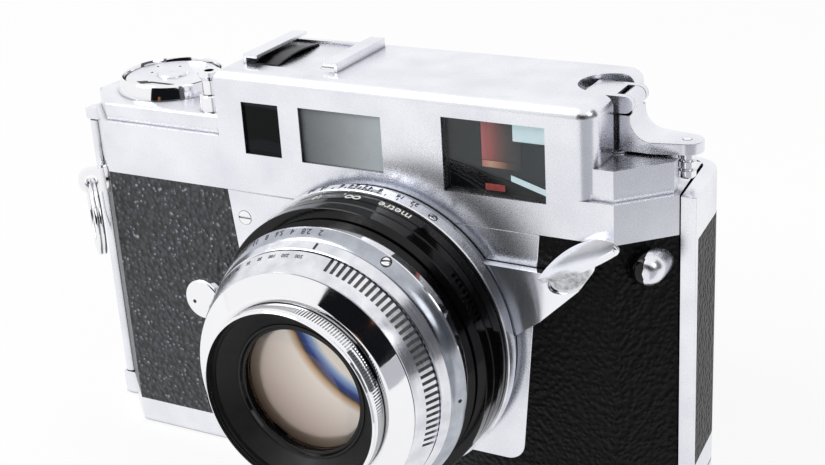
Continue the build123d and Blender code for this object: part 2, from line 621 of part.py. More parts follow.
# Top cover: raised block, skirt, left platform and right plateau, hollow from below
with BuildPart() as top_cover:
    bar((BLOCK_LEFT, FRONT, RIGHT_LEDGE), (BLOCK_RIGHT, BLOCK_BACK, BODY_HEIGHT))
    fillet(top_cover.edges().filter_by(Axis.Z).group_by(Axis.X)[-1], BLOCK_CORNER)
    fillet(top_cover.faces().sort_by(Axis.Z)[-1].edges(), BLOCK_ROUND)
    post(REWIND_X, 0, REWIND_CUT, RIGHT_LEDGE, BODY_HEIGHT, Mode.SUBTRACT)
    prism(left_plan(LEDGE, BLOCK_BACK - LEDGE), RIGHT_LEDGE, PLATFORM_TOP)
    platform_edges = top_cover.faces().filter_by(Plane.XY).filter_by(
        lambda face: abs(face.center().Z - PLATFORM_TOP) < SEAT
    )
    fillet(platform_edges[0].edges(), PLATFORM_ROUND)
    with BuildSketch(Plane.XY.offset(RIGHT_LEDGE)):
        with BuildLine():
            edge = plan(LEDGE, BLOCK_BACK)
            start_x = BLOCK_RIGHT - 2 * BLOCK_CORNER
            notch_x = REWIND_X + math.sqrt(NOTCH_RADIUS**2 - NOTCH_Y**2)
            tail = (
                REWIND_X + NOTCH_RADIUS * math.cos(math.radians(NOTCH_END)),
                NOTCH_RADIUS * math.sin(math.radians(NOTCH_END)),
            )
            Polyline(
                (start_x, tail[1]),
                (start_x, FRONT + LEDGE),
                edge[3],
                edge[4],
                (edge[4][0], NOTCH_Y),
                (notch_x, NOTCH_Y),
            )
            ThreePointArc((notch_x, NOTCH_Y), (REWIND_X + NOTCH_RADIUS, 0), tail)
            Line(tail, (start_x, tail[1]))
        make_face()
    extrude(amount=PLATEAU_TOP - RIGHT_LEDGE)
    prism(plan(0, SKIRT_BACK), COVER_EDGE, RIGHT_LEDGE)
    prism(left_plan(0, BLOCK_BACK), RIGHT_LEDGE, LEFT_LEDGE)
    bar(
        (LEFT_END, HINGE_Y - DOOR_END / 2, RIGHT_LEDGE),
        (MIDDLE - SKIRT_HALF + END_TAPER + WALL, HINGE_Y + DOOR_END / 2, RIGHT_LEDGE + HINGE_EAR),
    )
    post(HINGE_X, HINGE_Y, HINGE_PIN_RADIUS + SEAT, RIGHT_LEDGE, RIGHT_LEDGE + HINGE_EAR, Mode.SUBTRACT)
    prism(plan(WALL, SKIRT_BACK - WALL), COVER_EDGE, RIGHT_LEDGE - WALL, Mode.SUBTRACT)
    inner = left_plan(LEDGE + WALL, BLOCK_BACK - LEDGE - WALL)
    prism(inner, RIGHT_LEDGE - 2 * WALL, PLATFORM_TOP - WALL, Mode.SUBTRACT)
    bar(BLOCK_ROOM_LOW, BLOCK_ROOM_HIGH, Mode.SUBTRACT)
    lens_disc(TUBE_NECK + SEAT, TUBE_BACK, SEAT, Mode.SUBTRACT)
    for left, right, bottom, top in WINDOWS.values():
        bar((left, FRONT, bottom), (right, BLOCK_ROOM_LOW[1], top), Mode.SUBTRACT)
    bar(
        (EYEPIECE_LOW[0], 0, EYEPIECE_LOW[1]),
        (EYEPIECE_HIGH[0], BLOCK_BACK, EYEPIECE_HIGH[1]),
        Mode.SUBTRACT,
    )
    bar(
        (SHOE_X - SHOE_WIDTH / 2 - SEAT, -SHOE_LENGTH / 2 - SEAT, BODY_HEIGHT - SHOE_SUNK),
        (SHOE_X + SHOE_WIDTH / 2 + SEAT, SHOE_LENGTH / 2 + SEAT, BODY_HEIGHT),
        Mode.SUBTRACT,
    )
    for x, y in SHOE_SCREWS:
        post(x, y, SCREW_SHANK + SEAT, SHOE_FLOOR - SCREW_LENGTH, BODY_HEIGHT, Mode.SUBTRACT)
    post(RELEASE_X, RELEASE_Y, COLLAR_SPIGOT + SEAT, RIGHT_LEDGE, PLATFORM_TOP, Mode.SUBTRACT)
    post(DIAL_X, DIAL_Y, SPINDLE + FIT, RIGHT_LEDGE, PLATFORM_TOP, Mode.SUBTRACT)
    post(REWIND_X, 0, HEAD_HUB + FIT, COVER_EDGE, PLATEAU_TOP, Mode.SUBTRACT)
    bar(
        (LATCH_X - LATCH_NOSE / 2 - LATCH_TRAVEL - 2 * GAP, SKIRT_BACK - 2 * WALL, LATCH_Z - LATCH_NOSE),
        (LATCH_X + LATCH_NOSE / 2 + 2 * GAP, SKIRT_BACK, LATCH_Z + LATCH_NOSE),
        Mode.SUBTRACT,
    )
save(top_cover, "top_cover")

# Windows, the black optical block behind them, the half mirror and the eyepiece
for window_name, (left, right, bottom, top) in WINDOWS.items():
    with BuildPart() as window:
        bar(
            (left + SEAT, FRONT + WINDOW_RECESS, bottom + SEAT),
            (right - SEAT, FRONT + WINDOW_RECESS + WINDOW_GLASS, top - SEAT),
        )
    save(window, window_name)

with BuildPart() as viewfinder_block:
    bar(
        [low + GAP for low in BLOCK_ROOM_LOW],
        [high - GAP for high in BLOCK_ROOM_HIGH],
    )
    for left, right, bottom, top in WINDOWS.values():
        bar(
            (left, BLOCK_ROOM_LOW[1], max(bottom, BLOCK_ROOM_LOW[2] + WALL)),
            (min(right, BLOCK_ROOM_HIGH[0] - WALL), 0, top),
            Mode.SUBTRACT,
        )
    bar(
        (EYEPIECE_LOW[0], 0, EYEPIECE_LOW[1]),
        (EYEPIECE_HIGH[0], BACK, EYEPIECE_HIGH[1]),
        Mode.SUBTRACT,
    )
save(viewfinder_block, "viewfinder_block")

with BuildPart() as half_mirror:
    mirror_plane = Plane(origin=(EYEPIECE_X, 0, EYEPIECE_Z), x_dir=(1, 1, 0), z_dir=(1, -1, 0))
    with BuildSketch(mirror_plane):
        Rectangle(MIRROR_WIDTH, EYEPIECE_HEIGHT - 2 * SEAT)
    extrude(amount=WINDOW_GLASS)
save(half_mirror, "half_mirror")

with BuildPart() as eyepiece_bezel:
    bar(
        (EYEPIECE_LOW[0] - EYEPIECE_RIM, BLOCK_BACK, EYEPIECE_LOW[1] - EYEPIECE_RIM),
        (EYEPIECE_HIGH[0] + EYEPIECE_RIM, BLOCK_BACK + EYEPIECE_PROUD, EYEPIECE_HIGH[1] + EYEPIECE_RIM),
    )
    fillet(eyepiece_bezel.edges().filter_by(Axis.Y), EYEPIECE_RIM)
    bar(
        (EYEPIECE_LOW[0], BLOCK_BACK, EYEPIECE_LOW[1]),
        (EYEPIECE_HIGH[0], BACK, EYEPIECE_HIGH[1]),
        Mode.SUBTRACT,
    )
save(eyepiece_bezel, "eyepiece_bezel")

with BuildPart() as eyepiece_glass:
    bar(
        (EYEPIECE_LOW[0] + SEAT, BLOCK_BACK - WALL, EYEPIECE_LOW[1] + SEAT),
        (EYEPIECE_HIGH[0] - SEAT, BLOCK_BACK, EYEPIECE_HIGH[1] - SEAT),
    )
save(eyepiece_glass, "eyepiece_glass")

# Accessory shoe: a sheet folded up and over into two lips, with a bowed leaf spring on its floor
with BuildPart() as accessory_shoe:
    half = SHOE_WIDTH / 2
    lip_top = SHOE_FLOOR + SHOE_GAP + SHOE_SHEET
    with BuildSketch(Plane(origin=(SHOE_X, SHOE_LENGTH / 2, 0), x_dir=(1, 0, 0), z_dir=(0, -1, 0))):
        with BuildLine():
            Polyline(
                (-half, SHOE_FLOOR - SHOE_SHEET),
                (half, SHOE_FLOOR - SHOE_SHEET),
                (half, lip_top),
                (half - SHOE_LIP, lip_top),
                (half - SHOE_LIP, lip_top - SHOE_SHEET),
                (half - SHOE_SHEET, lip_top - SHOE_SHEET),
                (half - SHOE_SHEET, SHOE_FLOOR),
                (SHOE_SHEET - half, SHOE_FLOOR),
                (SHOE_SHEET - half, lip_top - SHOE_SHEET),
                (SHOE_LIP - half, lip_top - SHOE_SHEET),
                (SHOE_LIP - half, lip_top),
                (-half, lip_top),
                close=True,
            )
        make_face()
    extrude(amount=SHOE_LENGTH)
    for x, y in SHOE_SCREWS:
        post(x, y, SCREW_HEAD + SEAT, SHOE_FLOOR - SHOE_SHEET, SHOE_FLOOR, Mode.SUBTRACT)
save(accessory_shoe, "accessory_shoe")

with BuildPart() as shoe_spring:
    spring_left = SHOE_X - SHOE_WIDTH / 2 + SHOE_SHEET + SPRING_INSET
    spring_side = Plane(origin=(spring_left, 0, SHOE_FLOOR), x_dir=(0, 1, 0), z_dir=(1, 0, 0))
    bowed_leaf(spring_side, SPRING_LENGTH / 2, SHOE_GAP / 2, SHOE_SPRING, SPRING_WIDTH)
save(shoe_spring, "shoe_spring")

# Bottom cover: a shallow tray on the whole footprint, which also carries the foot of the hinge pin
with BuildPart() as bottom_cover:
    with BuildSketch():
        with BuildLine():
            skirt = plan(0, BACK)
            Polyline(
                skirt[1],
                skirt[2],
                skirt[3],
                skirt[4],
                (RIGHT_END, DOOR_FRONT),
                (RIGHT_END - END_TAPER, BACK),
                (LEFT_END + END_TAPER, BACK),
                (LEFT_END, DOOR_FRONT),
                close=True,
            )
        make_face()
        fillet(vertices().group_by(Axis.Y)[-1], DOOR_CORNER)
    extrude(amount=BASE_BAND)
    chamfer(bottom_cover.faces().sort_by(Axis.Z)[0].edges(), BASE_EDGE)
    prism(plan(SKIN - SEAT, CAST_BACK + SEAT), BASE_FLOOR, BASE_BAND, Mode.SUBTRACT)
    post(HINGE_X, HINGE_Y, HINGE_PIN_RADIUS + SEAT, BASE_FLOOR, BASE_BAND, Mode.SUBTRACT)
    post(0, 0, TRIPOD_BUSH + SEAT, 0, BASE_FLOOR, Mode.SUBTRACT)
    post(RELEASE_KEY_X, 0, RELEASE_KEY_RADIUS + FIT, 0, BASE_FLOOR, Mode.SUBTRACT)
    for x, y in BASE_SCREWS:
        post(x, y, SCREW_HEAD + SEAT, 0, BASE_FLOOR, Mode.SUBTRACT)
save(bottom_cover, "bottom_cover")

# Front plate and the leather round it
with BuildPart() as front_plate:
    with BuildSketch(front_plane()):
        with BuildLine():
            Polyline(
                (-PLATE_TOP_HALF, COVER_EDGE - SEAT),
                (-PLATE_FOOT_HALF, PLATE_FOOT),
                (PLATE_FOOT_HALF, PLATE_FOOT),
                (PLATE_TOP_HALF, COVER_EDGE - SEAT),
                close=True,
            )
        make_face()
        fillet(vertices().group_by(Axis.Y)[0], PLATE_CORNER)
    extrude(amount=-SKIN)
    lens_disc(TUBE_NECK + SEAT, -SKIN, 0, Mode.SUBTRACT)
    for x, z in PLATE_SCREWS:
        with Locations(Plane(origin=(x, FRONT, z), z_dir=(0, -1, 0))):
            Hole(SCREW_HEAD + SEAT, depth=SKIN)
save(front_plate, "front_plate")

with BuildPart() as front_leather:
    outside = plan(0, CAST_BACK)[1:5]
    inside = plan(SKIN, CAST_BACK)[1:5]
    prism(outside + inside[::-1], BASE_BAND + SEAT, COVER_EDGE - SEAT)
    with BuildSketch(front_plane()):
        with BuildLine():
            Polyline(
                (-PLATE_TOP_HALF - SEAT, COVER_EDGE),
                (-PLATE_FOOT_HALF - SEAT, PLATE_FOOT - SEAT),
                (PLATE_FOOT_HALF + SEAT, PLATE_FOOT - SEAT),
                (PLATE_TOP_HALF + SEAT, COVER_EDGE),
                close=True,
            )
        make_face()
        fillet(vertices().group_by(Axis.Y)[0], PLATE_CORNER)
    extrude(amount=-SKIN, mode=Mode.SUBTRACT)
save(front_leather, "front_leather")

# Slotted screws of one size: front plate, shoe and base
with BuildPart() as cover_screws:
    for x, z in PLATE_SCREWS:
        screw(Plane(origin=(x, FRONT, z), x_dir=(1, 0, 0), z_dir=(0, -1, 0)))
    for x, y in SHOE_SCREWS:
        screw(Plane(origin=(x, y, SHOE_FLOOR)))
    for x, y in BASE_SCREWS:
        screw(Plane(origin=(x, y, 0), x_dir=(1, 0, 0), z_dir=(0, 0, -1)))
save(cover_screws, "cover_screws")

# Tripod bush
with BuildPart() as tripod_bush:
    post(0, 0, TRIPOD_BUSH, 0, TRIPOD_DEPTH + WALL)
    post(0, 0, TRIPOD_RADIUS, 0, TRIPOD_DEPTH, Mode.SUBTRACT)
save(tripod_bush, "tripod_bush")

# Flash socket on the right chamfer, standing straight forwards
with BuildPart() as sync_socket:
    socket_plane = Plane(origin=(SYNC_X, SYNC_FACE, SYNC_Z), x_dir=(1, 0, 0), z_dir=(0, -1, 0))
    with BuildSketch(socket_plane):
        Circle(SYNC_RADIUS)
    extrude(amount=-CHAMFER_DEPTH)
    fillet(sync_socket.faces().sort_by(Axis.Y)[0].edges(), SYNC_ROUND)
    with BuildSketch(socket_plane):
        Circle(SYNC_BORE)
    extrude(amount=-SYNC_BORE_DEPTH, mode=Mode.SUBTRACT)
    chamfer_cut = plan(0, CAST_BACK)
    prism(
        [chamfer_cut[3], chamfer_cut[4], (chamfer_cut[4][0], BACK), (chamfer_cut[3][0], BACK)],
        COVER_EDGE - 4 * SYNC_RADIUS,
        COVER_EDGE + SYNC_RADIUS,
        Mode.SUBTRACT,
    )
save(sync_socket, "sync_socket")

with BuildPart() as sync_contact:
    with BuildSketch(socket_plane.offset(-SYNC_BORE_DEPTH)):
        Circle(SYNC_BORE - SEAT)
    extrude(amount=SYNC_BORE_DEPTH / 3)
    with BuildSketch(socket_plane.offset(-SYNC_BORE_DEPTH)):
        Circle(SYNC_PIN)
    extrude(amount=SYNC_BORE_DEPTH)
save(sync_contact, "sync_contact")

# Strap lug on the left chamfer, and the split ring that hangs in it
with BuildPart() as strap_lug:
    with BuildSketch(LUG_FACE):
        Circle(LUG_FLANGE)
    extrude(amount=SKIN)
    with BuildSketch(LUG_SIDE):
        with BuildLine():
            Polyline(
                (0, -LUG_RADIUS),
                (LUG_STANDOFF, -LUG_RADIUS),
                (LUG_STANDOFF, LUG_RADIUS),
                (0, LUG_RADIUS),
                close=True,
            )
        make_face()
        with Locations((LUG_STANDOFF, 0)):
            Circle(LUG_RADIUS)
            Circle(LUG_EYE, mode=Mode.SUBTRACT)
    extrude(amount=LUG_THICKNESS / 2, both=True)
save(strap_lug, "strap_lug")

with BuildPart() as strap_ring:
    with BuildSketch(RING_SECTION):
        with Locations((RING_RADIUS, -RING_COILS / 2), (RING_RADIUS, RING_COILS / 2)):
            Circle(RING_WIRE)
    revolve(axis=RING_AXIS)
save(strap_ring, "strap_ring")

# Fixed lens tube with the depth-of-field ring
with BuildPart() as lens_mount_tube:
    lens_ring(
        [
            (TUBE_BACK, TUBE_BORE),
            (TUBE_BACK, TUBE_NECK),
            (SEAT, TUBE_NECK),
            (SEAT, TUBE_RADIUS),
            (TUBE_FRONT, TUBE_RADIUS),
            (TUBE_FRONT, TUBE_BORE),
        ]
    )
save(lens_mount_tube, "lens_mount_tube")

with BuildPart() as depth_scale_ring:
    bore = TUBE_RADIUS + SEAT
    lens_ring(
        [
            (DEPTH_RING_BACK, bore),
            (DEPTH_RING_BACK, DEPTH_RING_RADIUS),
            (DEPTH_RING_FRONT, DEPTH_RING_RADIUS),
            (DEPTH_RING_FRONT, bore),
        ]
    )
    chamfer(depth_scale_ring.edges().filter_by(GeomType.CIRCLE).sort_by(SortBy.RADIUS)[-2:], RING_EDGE)
save(depth_scale_ring, "depth_scale_ring")

# Focus ring with two scalloped grips, and its knob
with BuildPart() as focus_ring:
    bore = TUBE_RADIUS + FIT
    lens_ring(
        [
            (FOCUS_RING_BACK, bore),
            (FOCUS_RING_BACK, FOCUS_RING_RADIUS),
            (FOCUS_RING_FRONT, FOCUS_RING_RADIUS),
            (FOCUS_RING_FRONT, bore),
        ]
    )
    chamfer(focus_ring.edges().filter_by(GeomType.CIRCLE).sort_by(SortBy.RADIUS)[-2:], RING_EDGE)
    with BuildSketch(lens_plane(FOCUS_TEETH_START)):
        for grip in FOCUS_GRIPS:
            with PolarLocations(FOCUS_RING_RADIUS, FOCUS_TEETH, grip, FOCUS_GRIP_SWEEP):
                Circle(FOCUS_TOOTH)
    extrude(amount=FOCUS_RING_FRONT - FOCUS_TEETH_START, mode=Mode.SUBTRACT)
save(focus_ring, "focus_ring")

with BuildPart() as focus_knob:
    knob_angle = math.radians(FOCUS_KNOB_ANGLE)
    knob_x = FOCUS_KNOB_REACH * math.cos(knob_angle)
    knob_z = FOCUS_KNOB_REACH * math.sin(knob_angle)
    with BuildSketch(lens_plane(FOCUS_KNOB_BACK)):
        with Locations((knob_x, knob_z)):
            Circle(FOCUS_KNOB_RADIUS)
    extrude(amount=FOCUS_KNOB_FRONT - FOCUS_KNOB_BACK)
    fillet(focus_knob.edges(), FOCUS_KNOB_ROUND)
    with BuildSketch(lens_plane((FOCUS_KNOB_BACK + FOCUS_KNOB_FRONT) / 2 - FOCUS_STEM / 2)):
        with Locations(Location((knob_x / 2, knob_z / 2), FOCUS_KNOB_ANGLE)):
            Rectangle(FOCUS_KNOB_REACH, FOCUS_KNOB_RADIUS)
    extrude(amount=FOCUS_STEM)
    lens_disc(FOCUS_RING_RADIUS + SEAT, FOCUS_KNOB_BACK, FOCUS_KNOB_FRONT, Mode.SUBTRACT)
save(focus_knob, "focus_knob")

# Shutter housing: the barrel that slides in the tube, and the room for the shutter blades
with BuildPart() as shutter_housing:
    barrel = TUBE_BORE - FIT
    lens_ring(
        [
            (TUBE_BACK, REAR_CLEAR),
            (TUBE_BACK, barrel),
            (FLANGE_START, barrel),
            (FLANGE_START, FLANGE_RADIUS),
            (FLANGE_FRONT, FLANGE_RADIUS),
            (FLANGE_FRONT, SHUTTER_ROOM),
            (SHUTTER_FLOOR, SHUTTER_ROOM),
            (SHUTTER_FLOOR, APERTURE_HOLE),
            (SHUTTER_FLOOR - WALL, APERTURE_HOLE),
            (SHUTTER_FLOOR - WALL, REAR_GLASS_RADIUS + SEAT),
            (REAR_GLASS_BACK, REAR_GLASS_RADIUS + SEAT),
            (REAR_GLASS_BACK, REAR_CLEAR),
        ]
    )
    with BuildSketch(lens_plane(SHUTTER_FLOOR - SEAT)):
        with PolarLocations(SHUTTER_PIVOT, SHUTTER_BLADES):
            Circle(BLADE_PIN)
    extrude(amount=SHUTTER_LID - SHUTTER_FLOOR)
save(shutter_housing, "shutter_housing")

# Shutter front: lid of the shutter, room for the iris, and the seats of the two setting rings
with BuildPart() as shutter_front:
    lens_ring(
        [
            (SHUTTER_LID, APERTURE_HOLE),
            (SHUTTER_LID, SHUTTER_ROOM - SEAT),
            (FLANGE_FRONT, SHUTTER_ROOM - SEAT),
            (FLANGE_FRONT, APERTURE_SEAT),
            (INDEX_RING_FRONT, APERTURE_SEAT),
            (INDEX_RING_FRONT, SPEED_SEAT),
            (BEZEL_BACK, SPEED_SEAT),
            (BEZEL_BACK, IRIS_ROOM),
            (IRIS_FLOOR, IRIS_ROOM),
            (IRIS_FLOOR, APERTURE_HOLE),
        ]
    )
    with BuildSketch(lens_plane(IRIS_FLOOR - SEAT)):
        with PolarLocations(IRIS_PIVOT, IRIS_BLADES):
            Circle(BLADE_PIN)
    extrude(amount=BLADE_STEP * (IRIS_BLADES + 2))
save(shutter_front, "shutter_front")

with BuildPart() as aperture_ring:
    bore = APERTURE_SEAT + FIT
    lens_ring(
        [
            (FLANGE_FRONT + RING_PLAY, bore),
            (FLANGE_FRONT + RING_PLAY, FLANGE_RADIUS),
            (APERTURE_RING_FRONT, FLANGE_RADIUS - APERTURE_RING_SLOPE),
            (APERTURE_RING_FRONT, bore),
        ]
    )
save(aperture_ring, "aperture_ring")

with BuildPart() as index_ring:
    bore = APERTURE_SEAT + SEAT
    lens_ring(
        [
            (APERTURE_RING_FRONT + RING_PLAY, bore),
            (APERTURE_RING_FRONT + RING_PLAY, INDEX_RING_RADIUS),
            (INDEX_RING_FRONT, INDEX_RING_RADIUS - INDEX_RING_SLOPE),
            (INDEX_RING_FRONT, bore),
        ]
    )
save(index_ring, "index_ring")

# Speed ring with two fluted grips
with BuildPart() as speed_ring:
    bore = SPEED_SEAT + FIT
    flute_back = INDEX_RING_FRONT + RING_PLAY
    flute_radius = INDEX_RING_RADIUS - INDEX_RING_SLOPE
    lens_ring(
        [
            (flute_back, bore),
            (flute_back, flute_radius),
            (SPEED_RING_FLUTES, flute_radius - FLUTE_SLOPE),
            (SPEED_RING_FRONT, SPEED_RING_NOSE),
            (SPEED_RING_FRONT, bore),
        ]
    )
    flute_pitch = 2 * math.pi * flute_radius / FLUTE_COUNT
    flutes_in_grip = round(FLUTE_COUNT * FLUTE_SWEEP / 360)
    with BuildSketch(lens_plane(flute_back)):
        for grip in FLUTE_GRIPS:
            with PolarLocations(flute_radius, flutes_in_grip, grip, FLUTE_SWEEP):
                Rectangle(2 * FLUTE_DEPTH, flute_pitch / 2)
    extrude(amount=SPEED_RING_FLUTES - flute_back, mode=Mode.SUBTRACT)
save(speed_ring, "speed_ring")

with BuildPart() as front_bezel:
    lens_ring(
        [
            (BEZEL_BACK, CELL_RADIUS + SEAT),
            (BEZEL_BACK, SPEED_RING_NOSE),
            (BEZEL_BACK + RING_EDGE, SPEED_RING_NOSE),
            (BEZEL_FRONT, BEZEL_NOSE),
            (BEZEL_FRONT, CELL_RADIUS + SEAT),
        ]
    )
save(front_bezel, "front_bezel")

# Front cell with its filter thread, the ring that holds the glass, and the glasses
with BuildPart() as front_cell:
    lens_ring(
        [
            (CELL_BACK, GLASS_CLEAR - WALL),
            (CELL_BACK, IRIS_ROOM - SEAT),
            (BEZEL_BACK, IRIS_ROOM - SEAT),
            (BEZEL_BACK, CELL_RADIUS),
            (CELL_FRONT, CELL_RADIUS),
            (CELL_FRONT, FILTER_RADIUS),
            (NAME_RING_FRONT, FILTER_RADIUS),
            (NAME_RING_FRONT, NAME_RING_RADIUS + SEAT),
            (GLASS_FRONT, NAME_RING_RADIUS + SEAT),
            (GLASS_FRONT, GLASS_RADIUS + SEAT),
            (GLASS_BACK, GLASS_RADIUS + SEAT),
            (GLASS_BACK, GLASS_CLEAR - WALL),
        ]
    )
save(front_cell, "front_cell")

with BuildPart() as name_ring:
    lens_ring(
        [
            (GLASS_FRONT, GLASS_CLEAR),
            (GLASS_FRONT, NAME_RING_RADIUS),
            (NAME_RING_FRONT, NAME_RING_RADIUS),
            (NAME_RING_FRONT, NAME_RING_RADIUS - RING_EDGE),
            (GLASS_FRONT + RING_EDGE, GLASS_CLEAR),
        ]
    )
save(name_ring, "name_ring")

with BuildPart() as front_glass:
    rim = GLASS_CLEAR - SEAT
    dome_radius = (rim**2 + GLASS_DOME**2) / (2 * GLASS_DOME)
    half_angle = math.asin(rim / dome_radius) / 2
    dome_middle = (
        GLASS_FRONT + GLASS_DOME - dome_radius * (1 - math.cos(half_angle)),
        dome_radius * math.sin(half_angle),
    )
    with BuildSketch(LENS_SECTION):
        with BuildLine():
            Polyline(
                (GLASS_FRONT + GLASS_DOME, 0),
                (GLASS_BACK, 0),
                (GLASS_BACK, GLASS_RADIUS),
                (GLASS_FRONT, GLASS_RADIUS),
                (GLASS_FRONT, rim),
            )
            ThreePointArc((GLASS_FRONT, rim), dome_middle, (GLASS_FRONT + GLASS_DOME, 0))
        make_face()
    revolve(axis=LENS_AXIS)
save(front_glass, "front_glass")

with BuildPart() as rear_glass:
    lens_disc(REAR_GLASS_RADIUS, REAR_GLASS_BACK, REAR_GLASS_FRONT)
    fillet(rear_glass.edges(), REAR_GLASS_ROUND)
save(rear_glass, "rear_glass")

# Iris blades: crescents that lie open round the hole and swing in about their pins
for index in range(IRIS_BLADES):
    pivot = 360 / IRIS_BLADES * index
    with BuildPart() as iris_blade:
        with BuildSketch(lens_plane(blade_station(IRIS_FLOOR, index), pivot)):
            with BuildLine():
                CenterArc((0, 0), IRIS_BLADE_IN, -IRIS_BLADE_SWEEP, IRIS_BLADE_SWEEP)
                CenterArc((0, 0), IRIS_BLADE_OUT, -IRIS_BLADE_SWEEP, IRIS_BLADE_SWEEP)
                Line((IRIS_BLADE_IN, 0), (IRIS_BLADE_OUT, 0))
                Line(
                    Vector(IRIS_BLADE_IN, 0).rotate(Axis.Z, -IRIS_BLADE_SWEEP),
                    Vector(IRIS_BLADE_OUT, 0).rotate(Axis.Z, -IRIS_BLADE_SWEEP),
                )
            make_face()
            with Locations((IRIS_PIVOT, 0)):
                Circle(BLADE_BOSS)
                Circle(BLADE_PIN + FIT, mode=Mode.SUBTRACT)
        extrude(amount=BLADE_SHEET)
    save(iris_blade, "iris_blade_" + str(index + 1))

# Shutter blades: leaves that close the hole and swing out about their pins
for index in range(SHUTTER_BLADES):
    pivot = 360 / SHUTTER_BLADES * index
    with BuildPart() as shutter_blade:
        with BuildSketch(lens_plane(blade_station(SHUTTER_FLOOR, index), pivot)):
            with BuildLine():
                sector_start = Vector(SHUTTER_BLADE_REACH, 0).rotate(Axis.Z, -90 - SHUTTER_BLADE_SWEEP / 2)
                sector_end = Vector(SHUTTER_BLADE_REACH, 0).rotate(Axis.Z, -90 + SHUTTER_BLADE_SWEEP / 2)
                CenterArc((0, 0), SHUTTER_BLADE_REACH, -90 - SHUTTER_BLADE_SWEEP / 2, SHUTTER_BLADE_SWEEP)
                Polyline(
                    sector_end,
                    (SHUTTER_PIVOT, -BLADE_BOSS),
                    (SHUTTER_PIVOT, BLADE_BOSS),
                    (0, SHUTTER_BLADE_LAP),
                    sector_start,
                )
            make_face()
            with Locations((SHUTTER_PIVOT, 0)):
                Circle(BLADE_BOSS)
                Circle(BLADE_PIN + FIT, mode=Mode.SUBTRACT)
        extrude(amount=BLADE_SHEET)
    save(shutter_blade, "shutter_blade_" + str(index + 1))

# Advance lever: a hub ring behind the depth ring, a plate beside the lens and the leaf-shaped pad
with BuildPart() as advance_lever:
    lever_plane = lens_plane(LEVER_START)
    rise = math.radians(PAD_RISE)
    lean = math.radians(PAD_LEAN)
    pad_plane = Plane(
        origin=(PAD_CENTRE[0], FRONT - PAD_FORWARD, LENS_HEIGHT + PAD_CENTRE[1]),
        x_dir=(math.cos(rise), 0, math.sin(rise)),
        z_dir=(-math.sin(rise) * math.cos(lean), -math.sin(lean), math.cos(rise) * math.cos(lean)),
    )
    lens_ring(
        [
            (LEVER_START, TUBE_RADIUS + FIT),
            (LEVER_START, LEVER_HUB),
            (LEVER_FRONT, LEVER_HUB),
            (LEVER_FRONT, TUBE_RADIUS + FIT),
        ]
    )
    with BuildSketch(lever_plane):
        with BuildLine():
            Polyline(LEVER_TIP, *LEVER_EDGE, LEVER_HEEL)
            ThreePointArc(LEVER_HEEL, LEVER_CREST, LEVER_TIP)
        make_face()
    extrude(amount=LEVER_THICKNESS)
    lens_disc(TUBE_RADIUS + FIT, LEVER_START, LEVER_FRONT, Mode.SUBTRACT)
    with BuildSketch(pad_plane):
        with BuildLine():
            ThreePointArc((-PAD_LENGTH / 2, 0), (0, PAD_CREST), (PAD_LENGTH / 2, PAD_END))
            ThreePointArc(
                (PAD_LENGTH / 2, PAD_END),
                (PAD_LENGTH / 2 + PAD_END_ROUND, 0),
                (PAD_LENGTH / 2, -PAD_END),
            )
            ThreePointArc((PAD_LENGTH / 2, -PAD_END), (0, -PAD_BELLY - PAD_END_ROUND), (-PAD_LENGTH / 2, 0))
        make_face()
    extrude(amount=PAD_THICKNESS / 2, both=True)
    with BuildSketch(lever_plane.offset(LEVER_THICKNESS)):
        with Locations(Location(PAD_HOLLOW, PAD_RISE)):
            Ellipse(PAD_HOLLOW_LENGTH / 2, PAD_HOLLOW_WIDTH / 2)
    extrude(amount=-PAD_HOLLOW_DEPTH, mode=Mode.SUBTRACT)
save(advance_lever, "advance_lever")

# Frame counter: a polished bezel round a turning disc
with BuildPart() as counter_bezel:
    dial_top = PLATFORM_TOP + DIAL_HEIGHT
    dial_inner = DIAL_RADIUS - DIAL_RIM
    turned(
        [
            (SPINDLE + FIT, PLATFORM_TOP),
            (DIAL_RADIUS, PLATFORM_TOP),
            (DIAL_RADIUS, dial_top - RING_EDGE),
            (DIAL_RADIUS - RING_EDGE, dial_top),
            (dial_inner, dial_top),
            (dial_inner, PLATFORM_TOP + WALL),
            (SPINDLE + FIT, PLATFORM_TOP + WALL),
        ],
        upright(DIAL_X, DIAL_Y),
        upright_axis(DIAL_X, DIAL_Y),
    )
save(counter_bezel, "counter_bezel")

with BuildPart() as counter_dial:
    disc_radius = DIAL_RADIUS - DIAL_RIM - FIT
    disc_top = PLATFORM_TOP + DIAL_HEIGHT - DIAL_SUNK
    post(DIAL_X, DIAL_Y, disc_radius, PLATFORM_TOP + WALL + FIT, disc_top)
    post(DIAL_X, DIAL_Y, SPINDLE, PLATFORM_TOP - 2 * WALL, PLATFORM_TOP + 2 * WALL)
    post(DIAL_X, DIAL_Y, DIAL_BOSS, disc_top - SEAT, disc_top + DIAL_SUNK)
save(counter_dial, "counter_dial")

# Release button with its cable thread, in a collar on the platform
with BuildPart() as release_collar:
    turned(
        [
            (RELEASE_STEM + FIT, PLATFORM_TOP - WALL),
            (COLLAR_SPIGOT, PLATFORM_TOP - WALL),
            (COLLAR_SPIGOT, PLATFORM_TOP),
            (COLLAR_RADIUS, PLATFORM_TOP),
            (COLLAR_RADIUS, PLATFORM_TOP + COLLAR_HEIGHT - RING_EDGE),
            (COLLAR_SPIGOT, PLATFORM_TOP + COLLAR_HEIGHT),
            (RELEASE_STEM + FIT, PLATFORM_TOP + COLLAR_HEIGHT),
        ],
        upright(RELEASE_X, RELEASE_Y),
        upright_axis(RELEASE_X, RELEASE_Y),
    )
save(release_collar, "release_collar")

